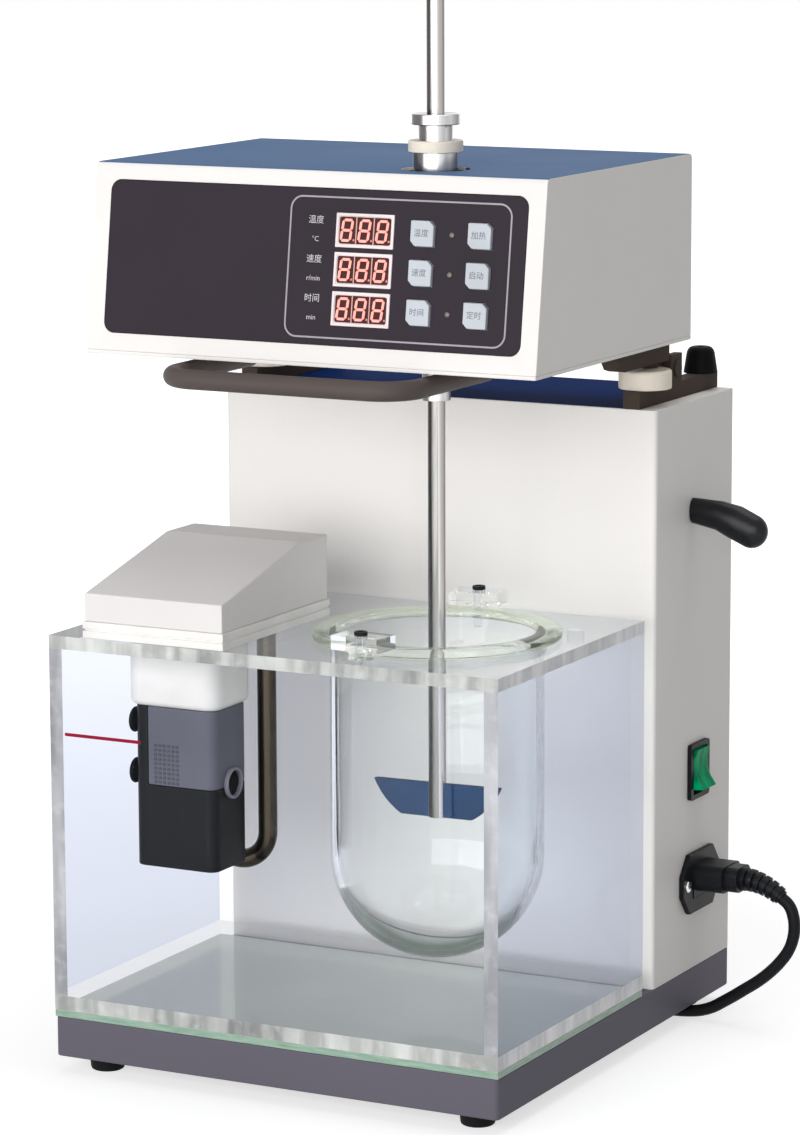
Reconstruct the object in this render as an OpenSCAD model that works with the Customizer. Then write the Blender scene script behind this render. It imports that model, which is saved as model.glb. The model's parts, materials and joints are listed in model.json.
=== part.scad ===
// Bench dissolution tester with one round-bottomed glass vessel in a clear water bath.
// Millimetres. X runs to the right, Y to the back, Z up from the bench.

/* [Base] */
// Width of base, bath, column and head
body_w = 266; // [240:1:300]
// Gap between the bath and the column
bath_gap = 14; // [8:1:24]
// Height of the base pan
pan_h = 22; // [16:1:30]
// Sheet thickness of pan, column and head
sheet_t = 2; // [1.5:0.1:3]
// Height of a rubber foot
foot_h = 9; // [8:0.5:14]
// Diameter of a rubber foot
foot_dia = 20; // [16:1:26]
// Distance of a foot's centre from the front and back edges
foot_inset_y = 19; // [12:1:24]
// Distance of a foot's centre from the side edges
foot_inset_x = 21; // [15:1:30]

/* [Water bath] */
// Thickness of the glass mat under the bath
mat_t = 4; // [3:0.5:8]
// Depth of the bath from front to back
tank_d = 178; // [172:1:184]
// Height of the bath walls
tank_h = 198; // [190:1:215]
// Thickness of the bath's acrylic sheets
tank_wall = 8; // [5:0.5:10]
// Thickness of the acrylic lid
lid_t = 7; // [5:0.5:10]

/* [Vessel] */
// Vessel axis, to the right of the machine's middle
vessel_x = 53; // [50:0.5:56]
// Vessel axis, behind the front edge
vessel_y = 89; // [86:0.5:92]
// Outside diameter of the vessel body
vessel_dia = 114; // [106:1:116]
// Glass wall thickness
vessel_wall = 4; // [2.5:0.25:5]
// Height of the vessel over all
vessel_h = 178; // [168:1:188]
// Diameter of the vessel's rim flange
flange_dia = 133; // [128:1:136]
// Thickness of the rim flange
flange_t = 4.5; // [3.5:0.25:6]
// Length of a vessel clip
clip_l = 28; // [24:1:34]
// Width of a vessel clip
clip_w = 18; // [16:1:20]
// Thickness of a vessel clip above the flange
clip_t = 7.5; // [5:0.5:10]

/* [Paddle] */
// Diameter of the paddle shaft
shaft_dia = 9.5; // [9.4:0.1:10.1]
// Length of the paddle shaft
shaft_l = 449; // [440:1:480]
// Blade length along its top edge
blade_top = 74.5; // [74:0.1:75]
// Blade length along its bottom edge
blade_bottom = 42; // [41:0.1:43]
// Blade height
blade_h = 19; // [18.5:0.1:19.5]
// Blade thickness
blade_t = 4; // [3:0.5:5]
// Height of the blade above the vessel's floor
blade_gap = 73; // [60:1:78]

/* [Circulator] */
// Width of the circulator's cover
cover_w = 83.5; // [78:0.5:88]
// Depth of the circulator's cover
cover_d = 115; // [110:1:125]
// Height of the cover's front wall
cover_front_h = 15; // [12:1:20]
// Height of the cover's back wall
cover_back_h = 35.5; // [30:0.5:42]
// Depth of the level top at the back
cover_flat_d = 29; // [20:1:40]
// Left edge of the cover, from the bath's left side
cover_inset = 21.5; // [18:0.5:26]
// Thickness of the plate under the cover
plate_t = 9; // [7:0.5:12]
// Width of the pump neck
neck_w = 56; // [52:1:60]
// Depth of the pump neck
neck_d = 42; // [38:1:46]
// Length of the neck below the lid
neck_drop = 34; // [28:1:40]
// Height of the pump's motor part
pump_motor_h = 43; // [38:1:48]
// Height of the pump's canister
canister_h = 45; // [40:1:52]
// Diameter of the heater tube
heater_dia = 10.5; // [8:0.5:11]
// Bend radius of the heater tube
heater_bend = 17; // [15:0.5:18]
// Depth of the heater's lowest point below the lid's top
heater_drop = 137; // [115:1:142]

/* [Column] */
// Depth of the column
column_d = 105; // [100:1:112]
// Height of the column above the base
column_h = 321; // [310:1:345]
// Height of a hinge rail
rail_h = 9.5; // [8:0.5:12]
// Width of a hinge rail
rail_w = 10; // [8:1:13]
// Distance of a rail's outer side from the column's side
rail_inset = 10; // [9:0.5:14]
// Diameter of a nylon rest disc
disc_dia = 29; // [24:1:32]
// Height of a nylon rest disc
disc_h = 10.5; // [9:0.5:14]
// Diameter of a hinge pin
pin_dia = 6; // [5:0.5:7]
// Distance of the hinge axis from the column's front
hinge_back = 49; // [47:1:56]
// Height of the hinge axis above the rail
hinge_up = 7.5; // [7:0.25:8]
// Height of a rubber bumper
bumper_h = 14.5; // [10:0.5:16]
// Diameter of a rubber bumper at its foot
bumper_dia = 19; // [16:1:22]

/* [Head] */
// Depth of the head at its bottom edge
head_d = 194; // [188:1:200]
// Height of the head with its floor
head_h = 101; // [96:1:110]
// How far the front leans back from bottom to top
front_lean = 14; // [8:1:18]
// Gap between the bath's front and the head's bottom front edge
head_front = 43; // [40:1:48]
// Height of the head brackets
bracket_h = 14; // [12:0.5:18]
// Thickness of the front wall
front_wall = 3; // [2.5:0.25:4]
// Width of the front panel
panel_w = 246; // [236:1:250]
// Height of the front panel
panel_h = 81; // [78:1:84]
// Thickness of the front panel
panel_t = 1; // [0.8:0.1:1.5]
// Width of a key cap
key_w = 13.2; // [12:0.2:15]
// Height of a key cap
key_h = 13.2; // [12:0.2:15]
// Distance between the key columns
key_pitch_x = 32.8; // [30:0.2:36]
// Distance between the key rows
key_pitch_y = 20.3; // [19:0.1:21]
// How far a key cap stands out
key_proud = 2; // [1.5:0.25:3]
// Width of a display
display_w = 33.8; // [30:0.2:36]
// Height of a display
display_h = 17.8; // [15:0.2:18]
// Diameter of the handle tube
handle_dia = 10.5; // [9:0.5:12]
// Distance between the handle's arms
handle_w = 143; // [124:1:148]
// How far the handle reaches in front of the head
handle_reach = 25; // [22:1:30]
// Gap between the handle tube and the head's floor
handle_gap = 1.8; // [1:0.2:4]

/* [Drive] */
// Diameter of the spindle tube
spindle_dia = 20; // [18:0.5:22]
// Diameter of the collar in the head's top
collar_dia = 24; // [22:0.5:27]
// Diameter of the nylon ring
ring_dia = 28.7; // [27:0.1:32]
// Diameter of the chuck nut
nut_dia = 25.5; // [23:0.5:28]
// Height of the chuck nut
nut_h = 5.5; // [4.5:0.25:8]
// Diameter of the spindle pulley
pulley_dia = 40; // [34:1:42]
// Diameter of the motor pulley
motor_pulley_dia = 24; // [20:1:28]
// Diameter of the drive motor
motor_dia = 56; // [50:1:60]

/* [Side fittings] */
// How far the lock lever reaches out of the column
lever_reach = 44.5; // [40:0.5:50]
// Diameter of the lock lever's hub
lever_hub = 14; // [12:0.5:16]
// Width of the switch frame
switch_w = 25; // [22:0.5:27]
// Height of the switch frame
switch_h = 31.5; // [30:0.5:34]
// Width of the mains inlet's flange
inlet_w = 50; // [46:1:52]
// Height of the mains inlet's flange
inlet_h = 34; // [30:1:36]
// Diameter of the mains lead
cord_dia = 6.8; // [6:0.2:7]
// Turns of the put-away lead in each of its two layers
coil_turns = 3; // [2:1:4]

/* [Hidden] */
// Running clearance of a shaft in its hole
run_gap = 0.05;
// Clearance between pieces that pass each other
free_gap = 0.3;
// How far a cutting shape passes a face
cut = 1;
$fn = 64;

half_w = body_w / 2;
base_d = tank_d + bath_gap + column_d;
foot_taper = 2;
pan_top = foot_h + pan_h;
tank_z = pan_top + mat_t;
lid_z = tank_z + tank_h;
lid_top = lid_z + lid_t;

column_y = base_d - column_d;
column_top_z = pan_top + column_h;
rail_top = column_top_z + rail_h;
disc_top = rail_top + disc_h;
head_z = disc_top + bracket_h;
head_top_z = head_z + head_h;
head_back = head_front + head_d;
rail_x = half_w - rail_inset - rail_w / 2;
hinge_y = column_y + hinge_back;
hinge_z = rail_top + hinge_up;
disc_y = column_y + disc_dia / 2 + 3.5;

vessel_r = vessel_dia / 2;
vessel_top = lid_top + flange_t;
vessel_floor = vessel_top - vessel_h;
bowl_z = vessel_floor + vessel_r;
blade_z = vessel_floor + vessel_wall + blade_gap;
shaft_r = shaft_dia / 2;

// The front panel's own frame: origin in the middle of the head's bottom front edge, X along the
// edge, Y up the sloping face and Z out of it.
front_angle = atan2(front_lean, head_h);
front_h = head_h / cos(front_angle);
panel_mid = 52.2;
keys_inset = 35.9;
display_step = 33.8;
key_x = half_w - keys_inset - key_pitch_x;
display_x = key_x - display_step;
row_mid = 51.2;
led_dia = 3;
key_flange = 1.2;
key_travel = 1;
board_t = 1.6;
board_w = 130;
board_h = 73;
board_back = 8;
rest_gap = 0.1;
handle_bend_r = 20;
handle_back = head_front + 70;
handle_left = 2;

// Half-lap hinge between rail ear and bracket ear
ear_t = rail_w / 2 - free_gap / 2;
ear_r = hinge_up - free_gap;
rail_ear_h = hinge_up + 8;
rail_ear_d = 15;

// Spindle stack, from the collar under the head to the chuck nut
collar_drop = 20;
flange_plate_t = 1.5;
flange_rim = 6;
lip_gap = 1;
bearing_od = spindle_dia + 12;
bearing_w = 7;
housing_od = bearing_od + 8;
housing_h = 54;
pulley_z = head_z + 60;
pulley_w = 14;
belt_w = 10;
belt_t = 1.8;
collar_top = head_top_z + 9;
ring_h = 6;
neck_dia = 18;
neck_h = 14;
thread_dia = 14;
top_hole_dia = collar_dia + 12;
motor_x = -46;
motor_y = 128;
motor_h = 50;
motor_shaft_dia = 8;
motor_boss_dia = 22;
motor_boss_h = 3;
motor_shaft_in = 20;

// Circulator
cover_x = -half_w + cover_inset;
cover_y = 2;
plate_rim = 1;
plate_groove = 1;
cover_wall = 1.5;
cover_mid_x = cover_x + cover_w / 2;
neck_left = 8;
neck_x = cover_mid_x - neck_w / 2 - neck_left;
neck_y = 32;
neck_z = lid_z - neck_drop;
motor_part_z = neck_z - pump_motor_h;
canister_z = motor_part_z - canister_h;
pump_x = neck_x + 3.75;
pump_w = neck_w - 6;
pump_y = neck_y + 2;
pump_d = neck_d - 5.5;
strip_w = 9;
cup_dia = 14;
cup_stem = 6;
cup_h = 8;
cup_back = 9;
cup_drop = 10;
cup_pitch = 28;
nozzle_od = 17;
nozzle_id = 14;
nozzle_t = 2.5;
nozzle_up = 1.5;
heater_y = neck_y + neck_d + heater_dia / 2 + 2.7;
heater_x = neck_x + neck_w + heater_dia / 2 - 2.2;
heater_bend_z = lid_top - heater_drop + heater_dia / 2 + heater_bend;

// Clips turn on their screws just outside the flange
clip_boss = 6.5;
clip_r = flange_dia / 2 + clip_boss + 0.6;
clip_screw_dia = 4;
clip_angle = 5;
rear_clip_angle = -9;

// Right side of the column
lever_y = column_y + 49;
lever_z = pan_top + 260;
lever_shaft_dia = 8;
lever_shaft_in = 14;
lever_flat = 0.75;
shoulder_out = 17;
shoulder_drop = 2;
shoulder_r = 8.3;
knee_out = 26;
knee_drop = 5;
knee_r = 9.6;
tip_r = 9.5;
tip_drop = 9;
switch_y = column_y + 57;
switch_z = pan_top + 113;
switch_proud = 2.5;
switch_depth = 20;
rocker_w = switch_w - 7;
rocker_h = switch_h - 9;
rocker_lean = 10;
rocker_pin = 3;
rocker_back = 2;
rocker_room = 14;
inlet_y = column_y + 59;
inlet_z = pan_top + 50;
inlet_t = 3;
inlet_depth = 20;
socket_w = 24;
socket_h = 17;
inlet_screw_pitch = 40;
screw_head_dia = 6.4;
screw_head_t = 1.6;
screw_inset = 10;
supply_w = 120;
supply_d = 55;
supply_h = 70;
supply_in = 18;

// Mains lead: the connector's bent strain relief, then hand-chosen points down to the bench,
// under the base and out behind it, then a coil of two layers.
connector_l = 25;
grip_up = 3;
relief_bend = 36;
relief_turn = 40;
relief_x = half_w + inlet_t + connector_l + relief_bend * sin(relief_turn);
relief_z = inlet_z + grip_up - relief_bend * (1 - cos(relief_turn));
cord_r = cord_dia / 2;
cord_line_x = 81;
coil_step = cord_dia + 0.7;
coil_in = 29;
coil_out = coil_in + coil_step * coil_turns;
coil_x = cord_line_x - coil_out;
coil_y = base_d + 6 + coil_out + cord_r;
coil_z = cord_r + 1.5;
coil_lead = 36;
coil_rings = 24;
coil_climb = 0.25;
coil_over = 0.125;
tie_t = 0.8;
tie_w = 6;
tie_gap = 0.5;
tie_at = 215;
cord_points = [
    [relief_x, inlet_y, relief_z],
    [relief_x + 6 * cos(relief_turn), inlet_y, relief_z - 6 * sin(relief_turn)],
    [191.2, 251, 66], [192, 251, 60], [191.2, 251, 53], [188.6, 251, 46], [184.2, 251, 39.5],
    [178.3, 251, 33], [171, 251, 26.6], [162, 251, 20.2], [152, 251, 13.4],
    [140, 250.5, 6.6], [127, 250, 4], [114, 251.5, cord_r], [102, 257, cord_r], [92, 266, cord_r],
    [85.5, 277.5, cord_r], [82, 290.5, cord_r], [cord_line_x, 304, cord_r + 0.2],
    [cord_line_x, 318, cord_r + 0.8], [cord_line_x, 332, coil_z], [cord_line_x, coil_y - cord_dia, coil_z]
];

// Box that the machine fills on the bench, without its lead
box_mid_x = lever_reach / 2;
box_mid_y = base_d / 2;

// Shapes that are used again

module rounded_rect(w, d, r) {
    square([w - 2 * r, d], center = true);
    square([w, d - 2 * r], center = true);
    for (sx = [-1, 1], sy = [-1, 1])
        translate([sx * (w / 2 - r), sy * (d / 2 - r)])
            circle(r);
}

module tube(outer, inner, h) {
    difference() {
        cylinder(d = outer, h = h);
        translate([0, 0, -cut])
            cylinder(d = inner, h = h + 2 * cut);
    }
}

// Turns a profile drawn as (Y, Z) so that it is extruded along +X
module along_x() {
    rotate([90, 0, 90])
        children();
}

// Frame of the right side: X to the back, Y up, Z out of the column
module side_frame(y, z) {
    translate([half_w, y, z])
        along_x()
            children();
}

module front_frame() {
    translate([0, head_front, head_z])
        rotate([90 - front_angle, 0, 0])
            children();
}

module both_sides() {
    for (s = [0, 1])
        mirror([s, 0, 0])
            children();
}

module at_vessel(z = 0) {
    translate([vessel_x, vessel_y, z])
        children();
}

module placed() {
    translate([-box_mid_x, -box_mid_y, 0])
        children();
}

function unit(v) = v / norm(v);
function turn(a) = a > 180 ? a - 360 : a < -180 ? a + 360 : a;

// Points of the bend of radius r at corner b, between neighbours a and c
function bend(a, b, c, r, steps = 5) =
    let (
        u = unit(a - b),
        v = unit(c - b),
        half = acos(u * v) / 2,
        o = b + unit(u + v) * r / sin(half),
        p = b + u * r / tan(half) - o,
        q = b + v * r / tan(half) - o,
        from = atan2(p.y, p.x),
        sweep = turn(atan2(q.y, q.x) - from)
    )
    [for (i = [0 : steps]) o + r * [cos(from + sweep * i / steps), sin(from + sweep * i / steps)]];

// Depth of the head's sloping front at height z
function front_y(z) = head_front + front_lean * (z - head_z) / head_h;

// Base and bath

module base_pan() {
    lip = 30;
    color("dimgray")
        difference() {
            translate([0, base_d / 2, foot_h])
                linear_extrude(pan_h)
                    rounded_rect(body_w, base_d, 3);
            translate([-half_w + sheet_t, sheet_t, foot_h + sheet_t])
                cube([body_w - 2 * sheet_t, base_d - 2 * sheet_t, pan_h - 2 * sheet_t]);
            translate([-half_w + lip, lip, foot_h - cut])
                cube([body_w - 2 * lip, base_d - 2 * lip, sheet_t + 2 * cut]);
        }
}

module base_feet() {
    color("black")
        for (sx = [-1, 1], y = [foot_inset_y, base_d - foot_inset_y])
            translate([sx * (half_w - foot_inset_x), y, 0])
                cylinder(d1 = foot_dia - foot_taper, d2 = foot_dia, h = foot_h);
}

module glass_mat() {
    color("darkseagreen")
        translate([-half_w, 0, pan_top])
            cube([body_w, tank_d, mat_t]);
}

module water_tank() {
    color("aliceblue", 0.4)
        difference() {
            translate([-half_w, 0, tank_z])
                cube([body_w, tank_d, tank_h]);
            translate([-half_w + tank_wall, tank_wall, tank_z + tank_wall])
                cube([body_w - 2 * tank_wall, tank_d - 2 * tank_wall, tank_h]);
        }
}

module tank_lid() {
    neck_room = 1;
    sample_hole = 9;
    color("aliceblue", 0.4)
        difference() {
            translate([-half_w, 0, lid_z])
                cube([body_w, tank_d, lid_t]);
            at_vessel(lid_z - cut)
                cylinder(d = vessel_dia + 2, h = lid_t + 2 * cut, $fn = 96);
            translate([neck_x + neck_w / 2, neck_y + neck_d / 2, lid_z - cut])
                linear_extrude(lid_t + 2 * cut)
                    rounded_rect(neck_w + 2 * neck_room, neck_d + 2 * neck_room, 10);
            heater_legs()
                translate([0, 0, lid_z - cut])
                    cylinder(d = heater_dia + 1, h = lid_t + 2 * cut);
            translate([half_w - 22, tank_d - 40, lid_z - cut])
                cylinder(d = sample_hole, h = lid_t + 2 * cut);
            clip_spots()
                translate([0, 0, lid_z - cut])
                    cylinder(d = clip_screw_dia + 2 * run_gap, h = lid_t + 2 * cut);
        }
}

// Vessel and its clips

module vessel() {
    inner = vessel_r - vessel_wall;
    color("honeydew", 0.4)
        at_vessel()
            difference() {
                union() {
                    translate([0, 0, lid_top])
                        cylinder(d = flange_dia, h = flange_t, $fn = 96);
                    translate([0, 0, bowl_z])
                        cylinder(r = vessel_r, h = vessel_top - bowl_z, $fn = 96);
                    translate([0, 0, bowl_z])
                        sphere(vessel_r, $fn = 96);
                }
                translate([0, 0, bowl_z])
                    cylinder(r = inner, h = vessel_h, $fn = 96);
                translate([0, 0, bowl_z])
                    sphere(inner, $fn = 96);
            }
}

module front_clip_spot() {
    at_vessel()
        rotate(-clip_angle)
            translate([0, -clip_r, 0])
                children();
}

module rear_clip_spot() {
    at_vessel()
        rotate(180 - rear_clip_angle)
            translate([0, -clip_r, 0])
                children();
}

module clip_spots() {
    front_clip_spot()
        children();
    rear_clip_spot()
        children();
}

module clip_screws() {
    screw_head_h = 2.6;
    clip_top = vessel_top + free_gap + clip_t;
    color("dimgray")
        clip_spots() {
            translate([0, 0, lid_z])
                cylinder(d = clip_screw_dia, h = clip_top + rest_gap - lid_z + screw_head_h / 2);
            translate([0, 0, clip_top + rest_gap])
                cylinder(d = 2 * clip_screw_dia, h = screw_head_h);
        }
}

module vessel_clip() {
    reach = 11;
    color("whitesmoke", 0.5)
        difference() {
            union() {
                translate([0, 0, lid_top + rest_gap])
                    cylinder(r = clip_boss, h = vessel_top + free_gap + clip_t - lid_top - rest_gap);
                translate([-clip_l / 2, reach - clip_w, vessel_top + free_gap])
                    cube([clip_l, clip_w, clip_t]);
            }
            translate([0, 0, lid_top - cut])
                cylinder(d = clip_screw_dia + 2 * run_gap, h = vessel_top + clip_t);
        }
}

module vessel_clip_front() {
    front_clip_spot()
        vessel_clip();
}

module vessel_clip_rear() {
    rear_clip_spot()
        vessel_clip();
}

// Circulator

module circulator_plate() {
    leaf = (plate_t - plate_groove) / 2;
    rim_w = cover_w + 2 * plate_rim;
    rim_d = cover_d + 2 * plate_rim;
    color("white")
        translate([cover_x - plate_rim, cover_y - plate_rim, lid_top]) {
            cube([rim_w, rim_d, leaf]);
            translate([plate_groove, plate_groove, 0])
                cube([rim_w - 2 * plate_groove, rim_d - 2 * plate_groove, plate_t]);
            translate([0, 0, leaf + plate_groove])
                cube([rim_w, rim_d, leaf]);
        }
}

module cover_profile(wall) {
    ridge_y = cover_d - cover_flat_d;
    lift = wall * tan(atan2(cover_back_h - cover_front_h, ridge_y) / 2);
    polygon([
        [wall, -cut * (wall > 0 ? 1 : 0)], [cover_d - wall, -cut * (wall > 0 ? 1 : 0)],
        [cover_d - wall, cover_back_h - wall], [ridge_y + lift, cover_back_h - wall],
        [wall, cover_front_h - wall]
    ]);
}

module circulator_cover() {
    color("gainsboro")
        translate([cover_x, cover_y, lid_top + plate_t])
            difference() {
                along_x()
                    linear_extrude(cover_w)
                        cover_profile(0);
                translate([cover_wall, 0, 0])
                    along_x()
                        linear_extrude(cover_w - 2 * cover_wall)
                            cover_profile(cover_wall);
            }
}

module pump_neck() {
    color("white")
        translate([neck_x + neck_w / 2, neck_y + neck_d / 2, neck_z])
            linear_extrude(lid_top - neck_z)
                rounded_rect(neck_w, neck_d, 9);
}

module pump_section() {
    translate([pump_x + pump_w / 2, pump_y + pump_d / 2])
        rounded_rect(pump_w, pump_d, 6);
}

module pump_motor() {
    color("slategray")
        translate([0, 0, motor_part_z])
            linear_extrude(pump_motor_h)
                intersection() {
                    pump_section();
                    translate([pump_x + strip_w, pump_y - cut])
                        square([pump_w, pump_d + 2 * cut]);
                }
}

module pump_canister() {
    color("black")
        union() {
            translate([0, 0, canister_z])
                linear_extrude(canister_h)
                    pump_section();
            translate([0, 0, motor_part_z])
                linear_extrude(pump_motor_h)
                    intersection() {
                        pump_section();
                        translate([pump_x, pump_y])
                            square([strip_w, pump_d]);
                    }
        }
}

module suction_cups() {
    color("black")
        for (z = [neck_z - cup_drop, neck_z - cup_drop - cup_pitch])
            translate([pump_x, pump_y + cup_back, z])
                rotate([0, -90, 0])
                    cylinder(d1 = cup_stem, d2 = cup_dia, h = cup_h);
}

module pump_nozzle() {
    color("gray")
        translate([pump_x + pump_w, pump_y + pump_d / 2, motor_part_z + nozzle_up])
            rotate([0, 90, 0])
                tube(nozzle_od, nozzle_id, nozzle_t);
}

module heater_legs() {
    for (x = [heater_x, heater_x - 2 * heater_bend])
        translate([x, heater_y, 0])
            children();
}

module heater_tube() {
    color("dimgray") {
        heater_legs()
            translate([0, 0, heater_bend_z])
                cylinder(d = heater_dia, h = lid_top - heater_bend_z);
        translate([heater_x - heater_bend, heater_y, heater_bend_z])
            rotate([-90, 0, 0])
                rotate_extrude(angle = 180)
                    translate([heater_bend, 0])
                        circle(d = heater_dia);
    }
}

// Column

module column_shell() {
    color("white")
        difference() {
            translate([0, column_y + column_d / 2, pan_top])
                linear_extrude(column_h)
                    rounded_rect(body_w, column_d, 2.5);
            translate([-half_w + sheet_t, column_y + sheet_t, pan_top - cut])
                cube([body_w - 2 * sheet_t, column_d, column_h + 2 * cut]);
            side_frame(lever_y, lever_z)
                translate([0, 0, -sheet_t - cut])
                    cylinder(d = lever_shaft_dia + 2 * run_gap, h = sheet_t + 2 * cut);
            side_frame(switch_y, switch_z)
                translate([0, 0, -sheet_t - cut])
                    linear_extrude(sheet_t + 2 * cut)
                        square([switch_w - 3, switch_h - 3], center = true);
            side_frame(inlet_y, inlet_z)
                translate([0, 0, -sheet_t - cut])
                    linear_extrude(sheet_t + 2 * cut)
                        square([socket_w + 4, socket_h + 4], center = true);
        }
}

module column_back() {
    color("white")
        translate([-half_w + sheet_t, base_d - 2 * sheet_t, pan_top])
            cube([body_w - 2 * sheet_t, sheet_t, column_h - sheet_t]);
}

module column_top() {
    color("midnightblue")
        translate([-half_w + sheet_t, column_y + sheet_t, column_top_z - sheet_t])
            cube([body_w - 2 * sheet_t, column_d - sheet_t, sheet_t]);
}

module cover_screws() {
    rows = [pan_top + screw_inset, pan_top + column_h / 2, column_top_z - screw_inset];
    color("silver") {
        for (sx = [-1, 1], z = rows)
            translate([sx * (half_w - sheet_t - screw_inset), base_d - sheet_t, z])
                rotate([-90, 0, 0])
                    cylinder(d = screw_head_dia, h = screw_head_t);
        for (s = [-1, 1])
            side_frame(inlet_y + s * inlet_screw_pitch / 2, inlet_z)
                translate([0, 0, inlet_t])
                    cylinder(d = screw_head_dia, h = screw_head_t);
    }
}

module switch_bezel() {
    window_h = switch_h - 5.5;
    window_w = rocker_w + 2 * free_gap;
    color("black")
        side_frame(switch_y, switch_z)
            difference() {
                union() {
                    linear_extrude(switch_proud)
                        rounded_rect(switch_w, switch_h, 2);
                    translate([0, 0, -switch_depth])
                        linear_extrude(switch_depth)
                            square([switch_w - 3, switch_h - 3], center = true);
                }
                translate([0, 0, -rocker_back - rocker_room])
                    linear_extrude(rocker_back + rocker_room + switch_proud + cut)
                        square([window_w, window_h], center = true);
                translate([0, 0, -rocker_back])
                    rotate([0, 90, 0])
                        cylinder(d = rocker_pin + 2 * run_gap, h = switch_w, center = true);
            }
}

module switch_rocker() {
    half_h = rocker_h / 2;
    crest = 8.5;
    dip = 5;
    color("green")
        side_frame(switch_y, switch_z)
            translate([0, 0, -rocker_back])
                rotate([-rocker_lean, 0, 0]) {
                    translate([-rocker_w / 2, 0, 0])
                        along_x()
                            linear_extrude(rocker_w)
                                polygon([
                                    [-half_h, crest], [-half_h / 2, dip + 0.9], [0, dip],
                                    [half_h / 2, dip + 0.9],
                                    [half_h, crest], [half_h - 1.5, -dip], [0, -crest], [1.5 - half_h, -dip]
                                ]);
                    rotate([0, 90, 0])
                        cylinder(d = rocker_pin, h = switch_w - 3.4, center = true);
                }
}

module power_inlet() {
    nip_y = 9;
    nip_z = 11;
    y = inlet_w / 2;
    z = inlet_h / 2;
    color("black")
        side_frame(inlet_y, inlet_z)
            difference() {
                union() {
                    linear_extrude(inlet_t)
                        polygon([
                            [-y, nip_z - z], [nip_y - y, -z], [y - nip_y, -z], [y, nip_z - z],
                            [y, z - nip_z], [y - nip_y, z], [nip_y - y, z], [-y, z - nip_z]
                        ]);
                    translate([0, 0, -inlet_depth])
                        linear_extrude(inlet_depth)
                            square([socket_w + 3, socket_h + 3], center = true);
                }
                translate([0, 0, inlet_t - inlet_depth + 4])
                    linear_extrude(inlet_depth)
                        square([socket_w, socket_h], center = true);
            }
}

module lever_ball(out, drop, r) {
    translate([0, -drop, out])
        sphere(r, $fn = 32);
}

module lock_lever() {
    color("black")
        side_frame(lever_y, lever_z) {
            translate([0, 0, -lever_shaft_in])
                cylinder(d = lever_shaft_dia, h = lever_shaft_in + shoulder_out);
            scale([lever_flat, 1, 1]) {
                hull() {
                    translate([0, 0, free_gap])
                        cylinder(d = lever_hub, h = 3, $fn = 32);
                    lever_ball(shoulder_out, shoulder_drop, shoulder_r);
                }
                hull() {
                    lever_ball(shoulder_out, shoulder_drop, shoulder_r);
                    lever_ball(knee_out, knee_drop, knee_r);
                }
                hull() {
                    lever_ball(knee_out, knee_drop, knee_r);
                    lever_ball(lever_reach - tip_r, tip_drop, tip_r);
                }
            }
        }
}

module hinge_rails() {
    color("dimgray")
        both_sides()
            difference() {
                union() {
                    translate([rail_x - rail_w / 2, column_y, column_top_z])
                        cube([rail_w, column_d, rail_h]);
                    translate([rail_x + free_gap / 2, hinge_y - 8, rail_top])
                        cube([ear_t, rail_ear_d, rail_ear_h]);
                }
                translate([rail_x, hinge_y, hinge_z])
                    rotate([0, 90, 0])
                        cylinder(d = pin_dia + 2 * run_gap, h = rail_w);
            }
}

module hinge_pins() {
    head_t = 1.2;
    color("silver")
        both_sides()
            translate([rail_x - rail_w / 2, hinge_y, hinge_z])
                rotate([0, 90, 0]) {
                    cylinder(d = pin_dia, h = rail_w + head_t);
                    translate([0, 0, rail_w])
                        cylinder(d = pin_dia + 3, h = head_t);
                }
}

module rest_discs() {
    edge = 1;
    color("ivory")
        both_sides()
            translate([rail_x, disc_y, rail_top]) {
                cylinder(d = disc_dia, h = disc_h - edge);
                translate([0, 0, disc_h - edge])
                    cylinder(d1 = disc_dia, d2 = disc_dia - 2 * edge, h = edge);
            }
}

module rubber_bumpers() {
    color("black")
        both_sides()
            translate([rail_x, base_d - bumper_dia / 2 - 3, rail_top])
                cylinder(d1 = bumper_dia, d2 = bumper_dia - 5, h = bumper_h);
}

module power_supply() {
    color("silver")
        translate([-supply_w / 2, column_y + supply_in, pan_top])
            cube([supply_w, supply_d, supply_h]);
}

// Head

module head_profile() {
    z = head_z + sheet_t;
    bend_r = 3;
    a = [front_y(z), z];
    b = [front_y(head_top_z), head_top_z];
    c = [head_back, head_top_z];
    d = [head_back, z];
    polygon(concat([a], bend(a, b, c, bend_r), bend(b, c, d, bend_r), [d]));
}

module head_room() {
    wall = front_wall / cos(front_angle);
    z = head_z + sheet_t - cut;
    top = head_top_z - sheet_t;
    polygon([
        [front_y(z) + wall, z], [front_y(top) + wall, top],
        [head_back - sheet_t, top], [head_back - sheet_t, z]
    ]);
}

module head_shell() {
    window_w = key_x + key_pitch_x - display_x + display_w;
    color("whitesmoke")
        difference() {
            translate([-half_w, 0, 0])
                along_x()
                    linear_extrude(body_w)
                        head_profile();
            translate([-half_w + sheet_t, 0, 0])
                along_x()
                    linear_extrude(body_w - 2 * sheet_t)
                        head_room();
            front_frame()
                translate([0, panel_mid, -panel_t])
                    linear_extrude(panel_t + cut)
                        rounded_rect(panel_w + free_gap, panel_h + free_gap, 6);
            front_frame()
                translate([(display_x + key_x + key_pitch_x) / 2, row_mid, -2 * front_wall])
                    linear_extrude(3 * front_wall)
                        square([window_w + key_w, 2 * key_pitch_y + display_h + 4], center = true);
            at_vessel(head_top_z - sheet_t - cut)
                cylinder(d = top_hole_dia, h = sheet_t + 2 * cut);
        }
}

module head_floor() {
    color("whitesmoke")
        difference() {
            translate([-half_w, head_front, head_z])
                cube([body_w, head_d, sheet_t]);
            at_vessel(head_z - cut)
                cylinder(d = housing_od + 2 * free_gap, h = sheet_t + 2 * cut);
        }
}

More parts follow.
